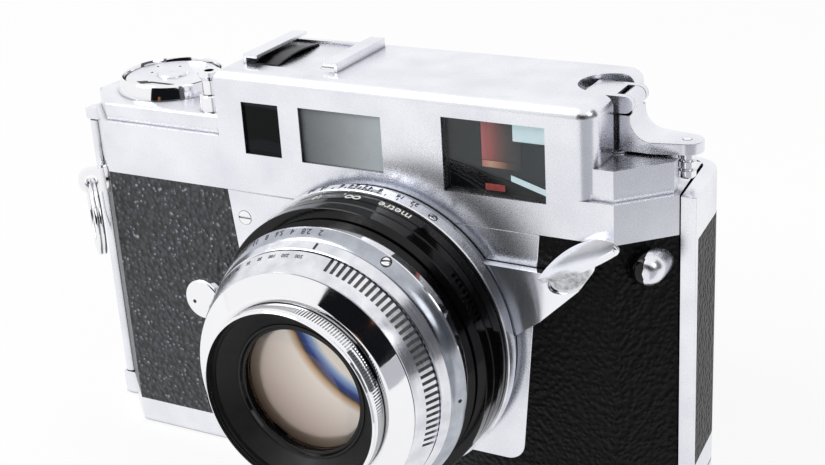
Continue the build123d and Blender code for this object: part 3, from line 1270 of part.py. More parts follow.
with BuildPart() as release_button:
    turned(
        [
            (0, PLATFORM_TOP - RELEASE_TAIL),
            (RELEASE_STEM, PLATFORM_TOP - RELEASE_TAIL),
            (RELEASE_STEM, RELEASE_TOP - 2 * RELEASE_CAP_HEIGHT),
            (RELEASE_CAP, RELEASE_TOP - RELEASE_CAP_HEIGHT),
            (RELEASE_CAP, RELEASE_TOP),
            (RELEASE_THREAD, RELEASE_TOP),
            (RELEASE_THREAD, RELEASE_TOP - RELEASE_THREAD_DEPTH),
            (0, RELEASE_TOP - RELEASE_THREAD_DEPTH),
        ],
        upright(RELEASE_X, RELEASE_Y),
        upright_axis(RELEASE_X, RELEASE_Y),
    )
save(release_button, "release_button")

# Rewind: fork shaft, turning head, folding crank and its handle
with BuildPart() as rewind_fork:
    post(REWIND_X, 0, SPINDLE, CHAMBER_ROOF - FORK_LENGTH / 2, FORK_TOP)
    bar(
        (REWIND_X - FORK_WIDTH / 2, -SPINDLE / 2, CHAMBER_ROOF - FORK_LENGTH),
        (REWIND_X + FORK_WIDTH / 2, SPINDLE / 2, CHAMBER_ROOF - GAP),
    )
    bar(
        (REWIND_X - SPINDLE, -SPINDLE, CHAMBER_ROOF - FORK_LENGTH),
        (REWIND_X + SPINDLE, SPINDLE, CHAMBER_ROOF - FORK_LENGTH / 2),
        Mode.SUBTRACT,
    )
save(rewind_fork, "rewind_fork")

with BuildPart() as rewind_head:
    head_reach = REWIND_CUT - GAP
    plate_right = CRANK_PIN_X - CRANK_KNUCKLE - GAP
    bar(
        (REWIND_X - HEAD_PLATE_REACH, -CRANK_EAR_OUT, HEAD_TOP - HEAD_PLATE),
        (plate_right, CRANK_EAR_OUT, HEAD_TOP),
    )
    bar(
        (REWIND_X - SPINDLE - WALL, -SPINDLE - WALL, PLATEAU_TOP),
        (plate_right, SPINDLE + WALL, HEAD_TOP),
    )
    post(REWIND_X, 0, head_reach, PLATEAU_TOP, BODY_HEIGHT, Mode.INTERSECT)
    for side in (-1, 1):
        ear_middle = side * (CRANK_KNUCKLE_HALF + FIT + CRANK_EAR / 2)
        with BuildSketch(Plane(origin=(0, ear_middle, 0), x_dir=(1, 0, 0), z_dir=(0, -1, 0))):
            with Locations((CRANK_PIN_X, CRANK_PIN_Z)):
                Circle(CRANK_KNUCKLE)
            with Locations(((plate_right + CRANK_PIN_X) / 2 - WALL / 2, CRANK_PIN_Z)):
                Rectangle(CRANK_PIN_X - plate_right + WALL, 2 * CRANK_KNUCKLE)
        extrude(amount=CRANK_EAR / 2, both=True)
    with BuildSketch(Plane(origin=(0, 0, 0), x_dir=(1, 0, 0), z_dir=(0, -1, 0))):
        with Locations((CRANK_PIN_X, CRANK_PIN_Z)):
            Circle(CRANK_PIN_RADIUS)
    extrude(amount=CRANK_EAR_OUT, both=True)
    post(REWIND_X, 0, HEAD_DISC, PLATEAU_TOP + FIT, CRANK_FLOOR - FIT)
    post(REWIND_X, 0, HEAD_HUB, CAST_TOP + 2 * GAP, PLATEAU_TOP + 2 * FIT)
    post(REWIND_X, 0, SPINDLE + FIT, COVER_EDGE, FORK_TOP + GAP, Mode.SUBTRACT)
save(rewind_head, "rewind_head")

with BuildPart() as crank_arm:
    leg_left = CRANK_PIN_X - CRANK_SHEET / 2
    leg_right = CRANK_PIN_X + CRANK_SHEET / 2
    tip = CRANK_KNOB_X + CRANK_TIP
    arm_top = CRANK_FLOOR + CRANK_SHEET
    with BuildSketch(Plane.XZ):
        with BuildLine():
            FilletPolyline(
                (leg_right, CRANK_PIN_Z),
                (leg_right, arm_top),
                (tip, arm_top),
                radius=CRANK_BEND,
            )
            Polyline(
                (tip, arm_top),
                (tip, CRANK_FLOOR),
                (leg_left, CRANK_FLOOR),
                (leg_left, CRANK_PIN_Z),
                (leg_right, CRANK_PIN_Z),
            )
        make_face()
    extrude(amount=CRANK_HALF, both=True)
    with BuildSketch(Plane.XY.offset(CRANK_FLOOR)):
        with BuildLine():
            Polyline(
                (leg_left, CRANK_HALF),
                (leg_left, -CRANK_HALF),
                (CRANK_KNOB_X - CRANK_SHOULDER, -CRANK_HALF),
                (CRANK_KNOB_X, -CRANK_TIP),
            )
            ThreePointArc((CRANK_KNOB_X, -CRANK_TIP), (tip, 0), (CRANK_KNOB_X, CRANK_TIP))
            Polyline(
                (CRANK_KNOB_X, CRANK_TIP),
                (CRANK_KNOB_X - CRANK_SHOULDER, CRANK_HALF),
                (leg_left, CRANK_HALF),
            )
        make_face()
    extrude(amount=BODY_HEIGHT - CRANK_FLOOR, mode=Mode.INTERSECT)
    neck_foot = CRANK_PIN_Z - CRANK_KNUCKLE - GAP
    for inner, outer in ((-BODY_DEPTH, -CRANK_KNUCKLE_HALF), (CRANK_KNUCKLE_HALF, BODY_DEPTH)):
        bar((leg_left, inner, neck_foot), (leg_right, outer, BODY_HEIGHT), Mode.SUBTRACT)
    with BuildSketch(Plane.XZ):
        with Locations((CRANK_PIN_X, CRANK_PIN_Z)):
            Circle(CRANK_KNUCKLE)
    extrude(amount=CRANK_KNUCKLE_HALF, both=True)
    with BuildSketch(Plane.XZ):
        with Locations((CRANK_PIN_X, CRANK_PIN_Z)):
            Circle(CRANK_PIN_RADIUS + FIT)
    extrude(amount=CRANK_HALF, both=True, mode=Mode.SUBTRACT)
    post(CRANK_KNOB_X, 0, CRANK_RIVET + FIT, CRANK_FLOOR, arm_top, Mode.SUBTRACT)
save(crank_arm, "crank_arm")

with BuildPart() as crank_knob:
    knob_top = CRANK_FLOOR - FIT
    knob_foot = knob_top - CRANK_KNOB_LENGTH
    turned(
        [
            (0, knob_foot),
            (CRANK_KNOB_RADIUS - RING_EDGE, knob_foot),
            (CRANK_KNOB_RADIUS, knob_foot + RING_EDGE),
            (CRANK_KNOB_RADIUS, knob_top),
            (CRANK_RIVET, knob_top),
            (CRANK_RIVET, CRANK_FLOOR + CRANK_SHEET),
            (0, CRANK_FLOOR + CRANK_SHEET),
        ],
        upright(CRANK_KNOB_X, 0),
        upright_axis(CRANK_KNOB_X, 0),
    )
    for groove in CRANK_KNOB_GROOVES:
        groove_z = knob_foot + groove * CRANK_KNOB_LENGTH
        with Locations((CRANK_KNOB_X, 0, groove_z)):
            Torus(CRANK_KNOB_RADIUS, RING_EDGE, mode=Mode.SUBTRACT)
save(crank_knob, "crank_knob")

# Rewind release key in the base
with BuildPart() as rewind_release:
    post(RELEASE_KEY_X, 0, RELEASE_KEY_RADIUS, RELEASE_KEY_SUNK, BASE_BAND)
    fillet(rewind_release.faces().sort_by(Axis.Z)[0].edges(), RELEASE_KEY_SUNK)
save(rewind_release, "rewind_release")

# Film transport
with BuildPart() as take_up_spool:
    post(SPOOL_X, 0, SPOOL_CORE, CHAMBER_FLOOR + GAP, CHAMBER_ROOF - GAP)
    for flange_foot in (CHAMBER_FLOOR + GAP, CHAMBER_ROOF - GAP - WALL):
        post(SPOOL_X, 0, SPOOL_FLANGE, flange_foot, flange_foot + WALL)
    bar(
        (SPOOL_X - SPOOL_SLOT / 2, -SPOOL_CORE, CHAMBER_FLOOR + 3 * WALL),
        (SPOOL_X + SPOOL_SLOT / 2, SPOOL_CORE, CHAMBER_ROOF - 3 * WALL),
        Mode.SUBTRACT,
    )
    post(SPOOL_X, 0, SPINDLE, CHAMBER_FLOOR - SPINDLE_TAIL, CHAMBER_FLOOR + 2 * WALL)
    post(SPOOL_X, 0, SPINDLE, CHAMBER_ROOF - 2 * WALL, CAST_TOP + WALL)
save(take_up_spool, "take_up_spool")

with BuildPart() as sprocket_wheel:
    drum = FILM_TRACK + SPROCKET_END
    post(SPROCKET_X, SPROCKET_Y, SPROCKET_CORE, LENS_HEIGHT - drum, LENS_HEIGHT + drum)
    post(SPROCKET_X, SPROCKET_Y, SPINDLE, LENS_HEIGHT - drum - SPINDLE_TAIL, CAST_TOP + WALL)
    for track in (-FILM_TRACK, FILM_TRACK):
        with BuildSketch(Plane.XY.offset(LENS_HEIGHT + track - WALL)):
            with Locations((SPROCKET_X, SPROCKET_Y)):
                Circle(SPROCKET_RADIUS - WALL)
                with PolarLocations(SPROCKET_RADIUS - WALL, SPROCKET_TEETH):
                    Rectangle(2 * WALL, WALL)
        extrude(amount=2 * WALL)
save(sprocket_wheel, "sprocket_wheel")

# Back door: one shell with both end walls, hung on the pin at the left end
with BuildPart() as back_door:
    door_band((0, 0), (DOOR_END, DOOR_BACK), (DOOR_FRONT, DOOR_FRONT), DOOR_FOOT, DOOR_TOP)
    front_edges = back_door.edges().filter_by(Axis.Z).group_by(Axis.Y)[0].sort_by(Axis.X)
    fillet(front_edges[:2], DOOR_END / 2 - SEAT)
    post(HINGE_X, HINGE_Y, HINGE_PIN_RADIUS + FIT, DOOR_FOOT, DOOR_TOP, Mode.SUBTRACT)
    door_band(
        (-SEAT, -SEAT),
        (DOOR_LEATHER, DOOR_LEATHER),
        (HINGE_Y + DOOR_END, DOOR_FRONT + DOOR_LEATHER_MARGIN),
        DOOR_FOOT + DOOR_LEATHER_RISE,
        DOOR_TOP - DOOR_LEATHER_DROP,
        Mode.SUBTRACT,
    )
    for side in (-1, 1):
        with BuildSketch(Plane(origin=(0, DOOR_INNER, LENS_HEIGHT), x_dir=(1, 0, 0), z_dir=(0, -1, 0))):
            with Locations((side * PRESSURE_PIN_REACH, 0)):
                Circle(PRESSURE_PIN)
        extrude(amount=DOOR_INNER - PRESSURE_FRONT - GAP)
    bar(
        (LATCH_X - LATCH_SHANK / 2 - LATCH_TRAVEL - GAP, 0, LATCH_Z - LATCH_SHANK / 2 - FIT),
        (LATCH_X + LATCH_SHANK / 2 + GAP, BACK, LATCH_Z + LATCH_SHANK / 2 + FIT),
        Mode.SUBTRACT,
    )
save(back_door, "back_door")

with BuildPart() as door_leather:
    door_band(
        (-SEAT, -SEAT),
        (DOOR_LEATHER - SEAT, DOOR_LEATHER - SEAT),
        (HINGE_Y + DOOR_END + SEAT, DOOR_FRONT + DOOR_LEATHER_MARGIN + SEAT),
        DOOR_FOOT + DOOR_LEATHER_RISE + SEAT,
        DOOR_TOP - DOOR_LEATHER_DROP - SEAT,
    )
save(door_leather, "door_leather")

with BuildPart() as hinge_pin:
    post(HINGE_X, HINGE_Y, HINGE_PIN_RADIUS, BASE_FLOOR + SEAT, RIGHT_LEDGE + HINGE_EAR)
save(hinge_pin, "hinge_pin")

# Pressure plate on two guide pins, with its bowed spring against the door
with BuildPart() as pressure_plate:
    bar(
        (-PRESSURE_WIDTH / 2, PRESSURE_FRONT, LENS_HEIGHT - PRESSURE_HEIGHT / 2),
        (PRESSURE_WIDTH / 2, PRESSURE_BACK, LENS_HEIGHT + PRESSURE_HEIGHT / 2),
    )
    for side in (-1, 1):
        with BuildSketch(Plane(origin=(0, BACK, LENS_HEIGHT), x_dir=(1, 0, 0), z_dir=(0, -1, 0))):
            with Locations((side * PRESSURE_PIN_REACH, 0)):
                Circle(PRESSURE_PIN + FIT)
        extrude(amount=BODY_DEPTH, mode=Mode.SUBTRACT)
save(pressure_plate, "pressure_plate")

with BuildPart() as pressure_spring:
    leaf_side = Plane(
        origin=(0, PRESSURE_BACK + SEAT, LENS_HEIGHT - PRESSURE_SPRING_WIDTH / 2),
        x_dir=(1, 0, 0),
        z_dir=(0, 0, 1),
    )
    leaf_rise = DOOR_INNER - PRESSURE_BACK - PRESSURE_SPRING - 2 * SEAT
    bowed_leaf(leaf_side, PRESSURE_SPRING_HALF, leaf_rise, PRESSURE_SPRING, PRESSURE_SPRING_WIDTH)
save(pressure_spring, "pressure_spring")

# Latch: a ribbed thumb piece outside, a keeper inside and a nose that enters the top cover's slot
with BuildPart() as latch_slide:
    bar(
        (LATCH_X - LATCH_WIDTH / 2, BACK + FIT, LATCH_Z - LATCH_HEIGHT / 2),
        (LATCH_X + LATCH_WIDTH / 2, BACK + LATCH_PROUD, LATCH_Z + LATCH_HEIGHT / 2),
    )
    with GridLocations(LATCH_WIDTH / 8, 0, 7, 1):
        with Locations((LATCH_X, BACK + LATCH_PROUD, LATCH_Z)):
            Cylinder(RING_EDGE, LATCH_HEIGHT, mode=Mode.SUBTRACT)
    bar(
        (LATCH_X - LATCH_SHANK / 2, DOOR_INNER - FIT, LATCH_Z - LATCH_SHANK / 2),
        (LATCH_X + LATCH_SHANK / 2, BACK + FIT, LATCH_Z + LATCH_SHANK / 2),
    )
    bar(
        (LATCH_X - LATCH_WIDTH / 3, DOOR_INNER - FIT - LATCH_SHEET, LATCH_Z - LATCH_HEIGHT / 2),
        (LATCH_X + LATCH_WIDTH / 3, DOOR_INNER - FIT, LATCH_Z + LATCH_HEIGHT / 2),
    )
    bar(
        (LATCH_X - LATCH_NOSE / 2, SKIRT_BACK - WALL, LATCH_Z - LATCH_NOSE / 2),
        (LATCH_X + LATCH_NOSE / 2, DOOR_INNER - FIT, LATCH_Z + LATCH_NOSE / 2),
    )
save(latch_slide, "latch_slide")
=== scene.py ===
import math

import bmesh
import bpy
from mathutils import Matrix, Vector


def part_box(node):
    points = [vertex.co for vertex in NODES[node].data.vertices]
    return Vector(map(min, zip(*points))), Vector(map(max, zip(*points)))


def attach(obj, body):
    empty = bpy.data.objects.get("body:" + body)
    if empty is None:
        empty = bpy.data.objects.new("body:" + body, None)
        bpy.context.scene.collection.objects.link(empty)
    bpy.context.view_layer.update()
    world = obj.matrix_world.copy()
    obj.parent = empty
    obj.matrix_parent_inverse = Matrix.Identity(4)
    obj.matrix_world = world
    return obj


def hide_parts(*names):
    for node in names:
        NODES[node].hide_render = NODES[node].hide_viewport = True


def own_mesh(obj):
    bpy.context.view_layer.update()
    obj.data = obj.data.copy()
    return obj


bl_info = {
    "name": "Rangefinder film camera",
    "version": (1, 0, 0),
    "blender": (4, 5, 0),
    "location": "3D View > Sidebar > Film camera",
    "description": "Finishes, scales and small parts for the packed film camera",
    "category": "Object",
}

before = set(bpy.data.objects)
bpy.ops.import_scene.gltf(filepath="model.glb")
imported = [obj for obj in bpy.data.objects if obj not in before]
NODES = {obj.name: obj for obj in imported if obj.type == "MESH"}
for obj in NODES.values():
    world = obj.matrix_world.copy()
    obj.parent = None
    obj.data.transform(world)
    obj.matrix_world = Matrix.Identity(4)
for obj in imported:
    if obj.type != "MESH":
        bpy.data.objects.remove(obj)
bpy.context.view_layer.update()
MM = 0.001

# The lens axis and the front of the body, read from the frame
GLASS_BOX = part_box("front_glass")
AXIS_HEIGHT = (GLASS_BOX[0].z + GLASS_BOX[1].z) / 2
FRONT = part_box("front_plate")[0].y
LENS_FOOT = Vector((0, FRONT, AXIS_HEIGHT))
LENS_AXIS = Vector((0, -1, 0))
UP = Vector((0, 0, 1))

# Edges that turn by more degrees than this stay sharp
SHARP_ANGLE = 34
# Slope of the aperture ring that carries its figures: back station and radius, front station and radius
APERTURE_SLOPE = (19.4, 27.86, 20.4, 27.41)

# Kinds of shader node that the finishes use most
NOISE = "ShaderNodeTexNoise"
CELLS = "ShaderNodeTexVoronoi"
RAMP = "ShaderNodeValToRGB"
RANGE = "ShaderNodeMapRange"
MAPPING = "ShaderNodeMapping"
MATH = "ShaderNodeMath"
VECTOR = "ShaderNodeVectorMath"
SPLIT = "ShaderNodeSeparateXYZ"
COMBINE = "ShaderNodeCombineXYZ"
BUMP = "ShaderNodeBump"
MIX = "ShaderNodeMix"
# A mix node set to mix colours
COLOUR_MIX = {"data_type": "RGBA", "out": "Result"}
# Painted shade in the corners and crevices of the plating
PAINTED_CORNER_SHADE = "3B3A3C"


class FilmCameraSizes(bpy.types.PropertyGroup):
    """Sizes of the small details that the frame does not carry."""

    edge_round: bpy.props.FloatProperty(
        name="Edge rounding",
        description="Rounding of the pressed and turned metal edges",
        default=0.25 * MM,
        unit="LENGTH",
        precision=5,
    )
    knurl_count: bpy.props.IntProperty(
        name="Knurl ridges",
        description="Ridges round the rim of the front cell",
        default=200,
    )
    flute_count: bpy.props.IntProperty(
        name="Flutes",
        description="Flutes in a whole turn of the speed ring",
        default=120,
    )
    flute_depth: bpy.props.FloatProperty(
        name="Flute depth",
        description="Depth of the flutes of the speed ring",
        default=0.6 * MM,
        unit="LENGTH",
        precision=5,
    )
    ink_thickness: bpy.props.FloatProperty(
        name="Ink thickness",
        description="How far filled figures stand proud of the metal",
        default=0.03 * MM,
        unit="LENGTH",
        precision=5,
    )
    leather_grain: bpy.props.FloatProperty(
        name="Leather grain",
        description="Width of one pebble of the leather",
        default=1.0 * MM,
        unit="LENGTH",
        precision=5,
    )


class FilmCameraColours(bpy.types.PropertyGroup):
    """Colours of the finishes, as sRGB hex."""

    chrome: bpy.props.StringProperty(name="Chrome", description="Matt chrome plate", default="F1F2F7")
    polish: bpy.props.StringProperty(name="Polish", description="Polished chrome", default="F3F3F6")
    leather: bpy.props.StringProperty(name="Leather", description="Leather", default="3A3F49")
    enamel: bpy.props.StringProperty(name="Enamel", description="Gloss black enamel", default="060607")
    dark_ink: bpy.props.StringProperty(name="Dark ink", description="Figures on chrome", default="1C1C20")
    pale_ink: bpy.props.StringProperty(name="Pale ink", description="Figures on black", default="F2F2EE")


class FilmCameraStage(bpy.types.PropertyGroup):
    """Camera and light of the studio."""

    camera_place: bpy.props.FloatVectorProperty(
        name="Camera place",
        description="Where the camera stands",
        default=(141.55 * MM, -247.94 * MM, 169.47 * MM),
        subtype="TRANSLATION",
        precision=5,
    )
    camera_azimuth: bpy.props.FloatProperty(
        name="Azimuth",
        description="How far round to the right the camera looks from",
        default=math.radians(29.8),
        subtype="ANGLE",
    )
    camera_elevation: bpy.props.FloatProperty(
        name="Elevation",
        description="How far above the horizon the camera looks from",
        default=math.radians(22.59),
        subtype="ANGLE",
    )
    camera_roll: bpy.props.FloatProperty(
        name="Roll", description="Turn of the picture", default=math.radians(3.64), subtype="ANGLE"
    )
    camera_lens: bpy.props.FloatProperty(
        name="Focal length", description="Focal length of the camera in millimetres", default=65.67
    )
    key_power: bpy.props.FloatProperty(
        name="Key lamp", description="Power of the large soft lamp in watts", default=7.0
    )
    room_light: bpy.props.FloatProperty(
        name="Room light", description="Strength of the even light all round", default=0.5
    )


def linear(code):
    """Linear colour of an sRGB hex value."""
    channels = [int(code[i : i + 2], 16) / 255 for i in (0, 2, 4)]
    bent = [c / 12.92 if c <= 0.04045 else ((c + 0.055) / 1.055) ** 2.4 for c in channels]
    return (*bent, 1.0)


def per_mm(size):
    """Texture scale that gives a pattern of this size in millimetres."""
    return 1 / (size * MM)


def add_node(tree, kind, values=None, links=None, stops=(), feeds=None, out=0, **settings):
    """Add a node with its settings, socket values, links and hex ramp stops, and give one of its outputs.

    The output also feeds a socket where one is named. Without an output, the node itself is given.
    """
    made = tree.nodes.new(kind)
    for name, value in settings.items():
        setattr(made, name, value)
    for socket, value in (values or {}).items():
        made.inputs[socket].default_value = value
    for socket, source in (links or {}).items():
        tree.links.new(source, made.inputs[socket])
    for index, (position, code) in enumerate(stops):
        if index > 1:
            made.color_ramp.elements.new(position)
        made.color_ramp.elements[index].position = position
        made.color_ramp.elements[index].color = linear(code)
    if feeds is not None:
        tree.links.new(made.outputs[out], feeds)
    return made if out is None else made.outputs[out]


def start_material(name, colour, **values):
    """Material with one Principled shader: gives its tree, the shader's sockets and Object coordinates."""
    material = bpy.data.materials.new(name)
    material.use_nodes = True
    tree = material.node_tree
    coat = tree.nodes["Principled BSDF"].inputs
    coat["Base Color"].default_value = linear(colour)
    for socket, value in values.items():
        coat[socket.replace("_", " ")].default_value = value
    return tree, coat, add_node(tree, "ShaderNodeTexCoord", out="Object")


def between(low, high, new_low, new_high):
    """Socket values that map one range to another."""
    return {"From Min": low, "From Max": high, "To Min": new_low, "To Max": new_high}


def wrap_round_lens(tree, place):
    """Coordinates wrapped round the lens axis: angle, distance along it and radius."""
    shifted = add_node(tree, VECTOR, {1: (0, -FRONT, -AXIS_HEIGHT)}, {0: place}, operation="ADD")
    parts = add_node(tree, SPLIT, links={0: shifted}, out=None).outputs
    angle = add_node(tree, MATH, links={0: parts["Z"], 1: parts["X"]}, operation="ARCTAN2")
    flat = add_node(tree, COMBINE, links={"X": parts["X"], "Y": parts["Z"]})
    radius = add_node(tree, VECTOR, links={0: flat}, out="Value", operation="LENGTH")
    return add_node(tree, COMBINE, links={"X": angle, "Y": parts["Y"], "Z": radius})


def matt_chrome(colours):
    """Chrome plate on bead-blasted brass: a soft pale sheen with faint clouding, and painted shade in the
    corners.
    """
    tree, coat, place = start_material("matt_chrome_plate", colours.chrome, Metallic=1.0)
    # The blast grain is about 0.1 mm; 0.3 mm is what the picture can show
    grain = add_node(tree, NOISE, {"Scale": per_mm(0.3), "Detail": 3.0}, {"Vector": place})
    cloud = add_node(tree, NOISE, {"Scale": per_mm(11.0), "Detail": 5.0}, {"Vector": place})
    tone = add_node(tree, RAMP, links={"Fac": cloud}, stops=[(0.32, "E3E4EC"), (0.66, colours.chrome)])
    specks = add_node(tree, CELLS, {"Scale": per_mm(1.7), "Randomness": 1.0}, {"Vector": place})
    worn = add_node(tree, RANGE, between(0.03, 0.09, 0.3, 0.0), {"Value": specks})
    speckled = add_node(tree, MIX, {"B": linear("A2A3AA")}, {"Factor": worn, "A": tone}, **COLOUR_MIX)
    # Ambient occlusion darkens the corners: painted shade
    corner = add_node(tree, "ShaderNodeAmbientOcclusion", {"Distance": 1.6 * MM}, out="AO", samples=6)
    corner_shade = add_node(tree, RANGE, between(0.3, 0.85, 0.85, 0.0), {"Value": corner})
    layers = {"Factor": corner_shade, "A": speckled}
    add_node(tree, MIX, {"B": linear(PAINTED_CORNER_SHADE)}, layers, feeds=coat["Base Color"], **COLOUR_MIX)
    add_node(tree, RANGE, between(0.3, 0.7, 0.24, 0.29), {"Value": grain}, feeds=coat["Roughness"])
    add_node(tree, BUMP, {"Strength": 0.06, "Distance": 0.02 * MM}, {"Height": grain}, feeds=coat["Normal"])


def polished_chrome(colours):
    """Buffed chrome plate: mirror reflections, dulled a little by finger haze and tiny pits."""
    tree, coat, place = start_material("polished_chrome_plate", colours.polish, Metallic=1.0)
    # Ambient occlusion darkens the corners of the polish too: painted shade
    corner = add_node(tree, "ShaderNodeAmbientOcclusion", {"Distance": 1.2 * MM}, out="AO", samples=4)
    corner_shade = add_node(tree, RANGE, between(0.3, 0.8, 0.8, 0.0), {"Value": corner})
    tones = {"A": linear(colours.polish), "B": linear(PAINTED_CORNER_SHADE)}
    add_node(tree, MIX, tones, {"Factor": corner_shade}, feeds=coat["Base Color"], **COLOUR_MIX)
    haze = add_node(tree, NOISE, {"Scale": per_mm(5.0), "Detail": 5.0}, {"Vector": place})
    add_node(tree, RANGE, between(0.35, 0.7, 0.03, 0.11), {"Value": haze}, feeds=coat["Roughness"])
    pits = add_node(tree, NOISE, {"Scale": per_mm(0.6), "Detail": 2.0}, {"Vector": place})
    add_node(tree, BUMP, {"Strength": 0.04, "Distance": 0.01 * MM}, {"Height": pits}, feeds=coat["Normal"])


def turned_chrome(name, dull, bright):
    """Chrome plate over lathe-turned brass: fine lines round the lens, which stretch the highlights."""
    tree, coat, place = start_material(name, bright, Metallic=1.0)
    wrapped = wrap_round_lens(tree, place)
    # Turning marks are about 0.05 mm apart; 0.15 mm is what the picture can show
    stretch = add_node(tree, MAPPING, {"Scale": (3.0, per_mm(0.15), per_mm(0.15))}, {"Vector": wrapped})
    lines = add_node(tree, NOISE, {"Scale": 1.0, "Detail": 3.0}, {"Vector": stretch})
    cloud = add_node(tree, NOISE, {"Scale": per_mm(4.0), "Detail": 5.0}, {"Vector": place})
    stops = [(0.3, dull), (0.68, bright)]
    add_node(tree, RAMP, links={"Fac": cloud}, stops=stops, feeds=coat["Base Color"])
    add_node(tree, RANGE, between(0.3, 0.7, 0.15, 0.26), {"Value": lines}, feeds=coat["Roughness"])
    add_node(tree, BUMP, {"Strength": 0.1, "Distance": 0.015 * MM}, {"Height": lines}, feeds=coat["Normal"])


def thumbed_chrome(colours):
    """Chrome of the advance lever: satin on its arm, and on its pad polished by the thumb and painted
    brighter as a highlight, with painted shade in the hollow under it.
    """
    tree, coat, place = start_material("thumbed_chrome_plate", colours.chrome, Metallic=1.0)
    parts = add_node(tree, SPLIT, links={0: place}, out=None).outputs
    # Towards the pad the tone brightens as a painted highlight, and the roughness falls with the thumb's
    # polish
    along = add_node(tree, RANGE, between(30 * MM, 36 * MM, 0.0, 1.0), {"Value": parts["X"]})
    drift = add_node(tree, NOISE, {"Scale": per_mm(3.0), "Detail": 3.0}, {"Vector": place})
    worn = add_node(tree, MATH, {1: 0.2}, {0: drift, 2: along}, operation="MULTIPLY_ADD")
    tone = add_node(tree, RAMP, links={"Fac": worn}, stops=[(0.0, "B4B8BF"), (1.0, colours.chrome)])
    # The hollow under the pad: an oval of speckled painted shade
    oval_place = {
        "Location": (41.6 * MM, 0, AXIS_HEIGHT + 17.4 * MM),
        "Rotation": (0, math.radians(-31), 0),
        "Scale": (5.2 * MM, 1, 2.7 * MM),
    }
    oval = add_node(tree, MAPPING, oval_place, {"Vector": place}, vector_type="TEXTURE")
    reach = add_node(tree, VECTOR, links={0: oval}, out="Value", operation="LENGTH")
    inside = add_node(tree, RANGE, between(0.75, 1.0, 1.0, 0.0), {"Value": reach})
    specks = add_node(tree, NOISE, {"Scale": per_mm(0.9), "Detail": 4.0}, {"Vector": place})
    hollow_shade = add_node(tree, MATH, links={0: inside, 1: specks}, operation="MULTIPLY")
    layers = {"Factor": hollow_shade, "A": tone}
    add_node(tree, MIX, {"B": linear("3A3C40")}, layers, feeds=coat["Base Color"], **COLOUR_MIX)
    add_node(tree, RANGE, between(0.0, 1.0, 0.3, 0.1), {"Value": worn}, feeds=coat["Roughness"])


def leather_cloth(colours, grain_size):
    """Embossed leather cloth: rounded pebbles with painted shade in their creases, and painted glints where
    the pebbles catch light.
    """
    tree, coat, place = start_material("pebbled_leather", colours.leather)
    grain = grain_size / MM
    noise = {"Scale": per_mm(grain * 1.4), "Detail": 2.0}
    drift = add_node(tree, NOISE, noise, {"Vector": place}, out="Color")
    sway = {1: (0.5 * grain_size,) * 3}
    bent = add_node(tree, VECTOR, sway, {0: drift, 2: place}, operation="MULTIPLY_ADD")
    cells = {"Scale": per_mm(grain), "Randomness": 0.9}
    pebbles = add_node(tree, CELLS, cells, {"Vector": bent}, feature="SMOOTH_F1")
    height = add_node(tree, RANGE, between(0.1, 0.62, 1.0, 0.0), {"Value": pebbles})
    fine = add_node(tree, NOISE, {"Scale": per_mm(0.3), "Detail": 2.0}, {"Vector": place})
    rise = add_node(tree, MATH, {1: 0.3}, {0: fine, 2: height}, operation="MULTIPLY_ADD")
    # The creases between the pebbles are painted darker, as shade
    tone = add_node(tree, RAMP, links={"Fac": height}, stops=[(0.1, "0A0B0D"), (0.9, colours.leather)])
    add_node(tree, RANGE, between(0.3, 0.7, 0.28, 0.44), {"Value": fine}, feeds=coat["Roughness"])
    # Painted shade darkens the front's right side and the sides behind it, which also get less gloss; painted
    # glints brighten some pebble tops on the left of the front
    parts = add_node(tree, SPLIT, links={0: place}, out=None).outputs
    away = add_node(tree, RANGE, between(-30 * MM, 30 * MM, 0.0, 1.0), {"Value": parts["X"]})
    behind = add_node(tree, RANGE, between(0.0, 8 * MM, 0.0, 1.0), {"Value": parts["Y"]})
    shaded_dull_side = add_node(tree, MATH, links={0: away, 1: behind}, operation="MAXIMUM")
    add_node(tree, RANGE, between(0.0, 1.0, 0.62, 0.1), {"Value": shaded_dull_side}, feeds=coat["Specular IOR Level"])
    shaded_tone = add_node(tree, MIX, {"B": linear("0A0A0C")}, {"Factor": shaded_dull_side, "A": tone}, **COLOUR_MIX)
    patchy = add_node(tree, NOISE, {"Scale": per_mm(grain * 3), "Detail": 2.0}, {"Vector": place})
    tops = add_node(tree, MATH, links={0: patchy, 1: height}, operation="MULTIPLY")
    bright = add_node(tree, RANGE, between(0.41, 0.54, 0.0, 0.85), {"Value": tops})
    glint_side = add_node(tree, RANGE, between(0.0, 0.4, 1.0, 0.0), {"Value": shaded_dull_side})
    share = add_node(tree, MATH, links={0: bright, 1: glint_side}, operation="MULTIPLY")
    layers = {"Factor": share, "A": shaded_tone}
    add_node(tree, MIX, {"B": linear("A4AAB4")}, layers, feeds=coat["Base Color"], **COLOUR_MIX)
    add_node(tree, BUMP, {"Strength": 1.0, "Distance": 0.3 * MM}, {"Height": rise}, feeds=coat["Normal"])


def gloss_enamel(colours):
    """Stoved black enamel on alloy: deep black with a clear gloss and a little orange peel."""
    tree, coat, place = start_material("gloss_black_enamel", colours.enamel, Specular_IOR_Level=0.28)
    peel = add_node(tree, NOISE, {"Scale": per_mm(0.9), "Detail": 2.0}, {"Vector": place})
    add_node(tree, RANGE, between(0.35, 0.75, 0.08, 0.2), {"Value": peel}, feeds=coat["Roughness"])
    add_node(tree, BUMP, {"Strength": 0.06, "Distance": 0.02 * MM}, {"Height": peel}, feeds=coat["Normal"])


def mottled(name, low, high, size, smooth, rough, **values):
    """Plain finish whose tone and roughness drift a little over the surface."""
    tree, coat, place = start_material(name, low, **values)
    drift = add_node(tree, NOISE, {"Scale": per_mm(size), "Detail": 4.0}, {"Vector": place})
    add_node(tree, RAMP, links={"Fac": drift}, stops=[(0.3, low), (0.7, high)], feeds=coat["Base Color"])
    add_node(tree, RANGE, between(0.3, 0.7, smooth, rough), {"Value": drift}, feeds=coat["Roughness"])


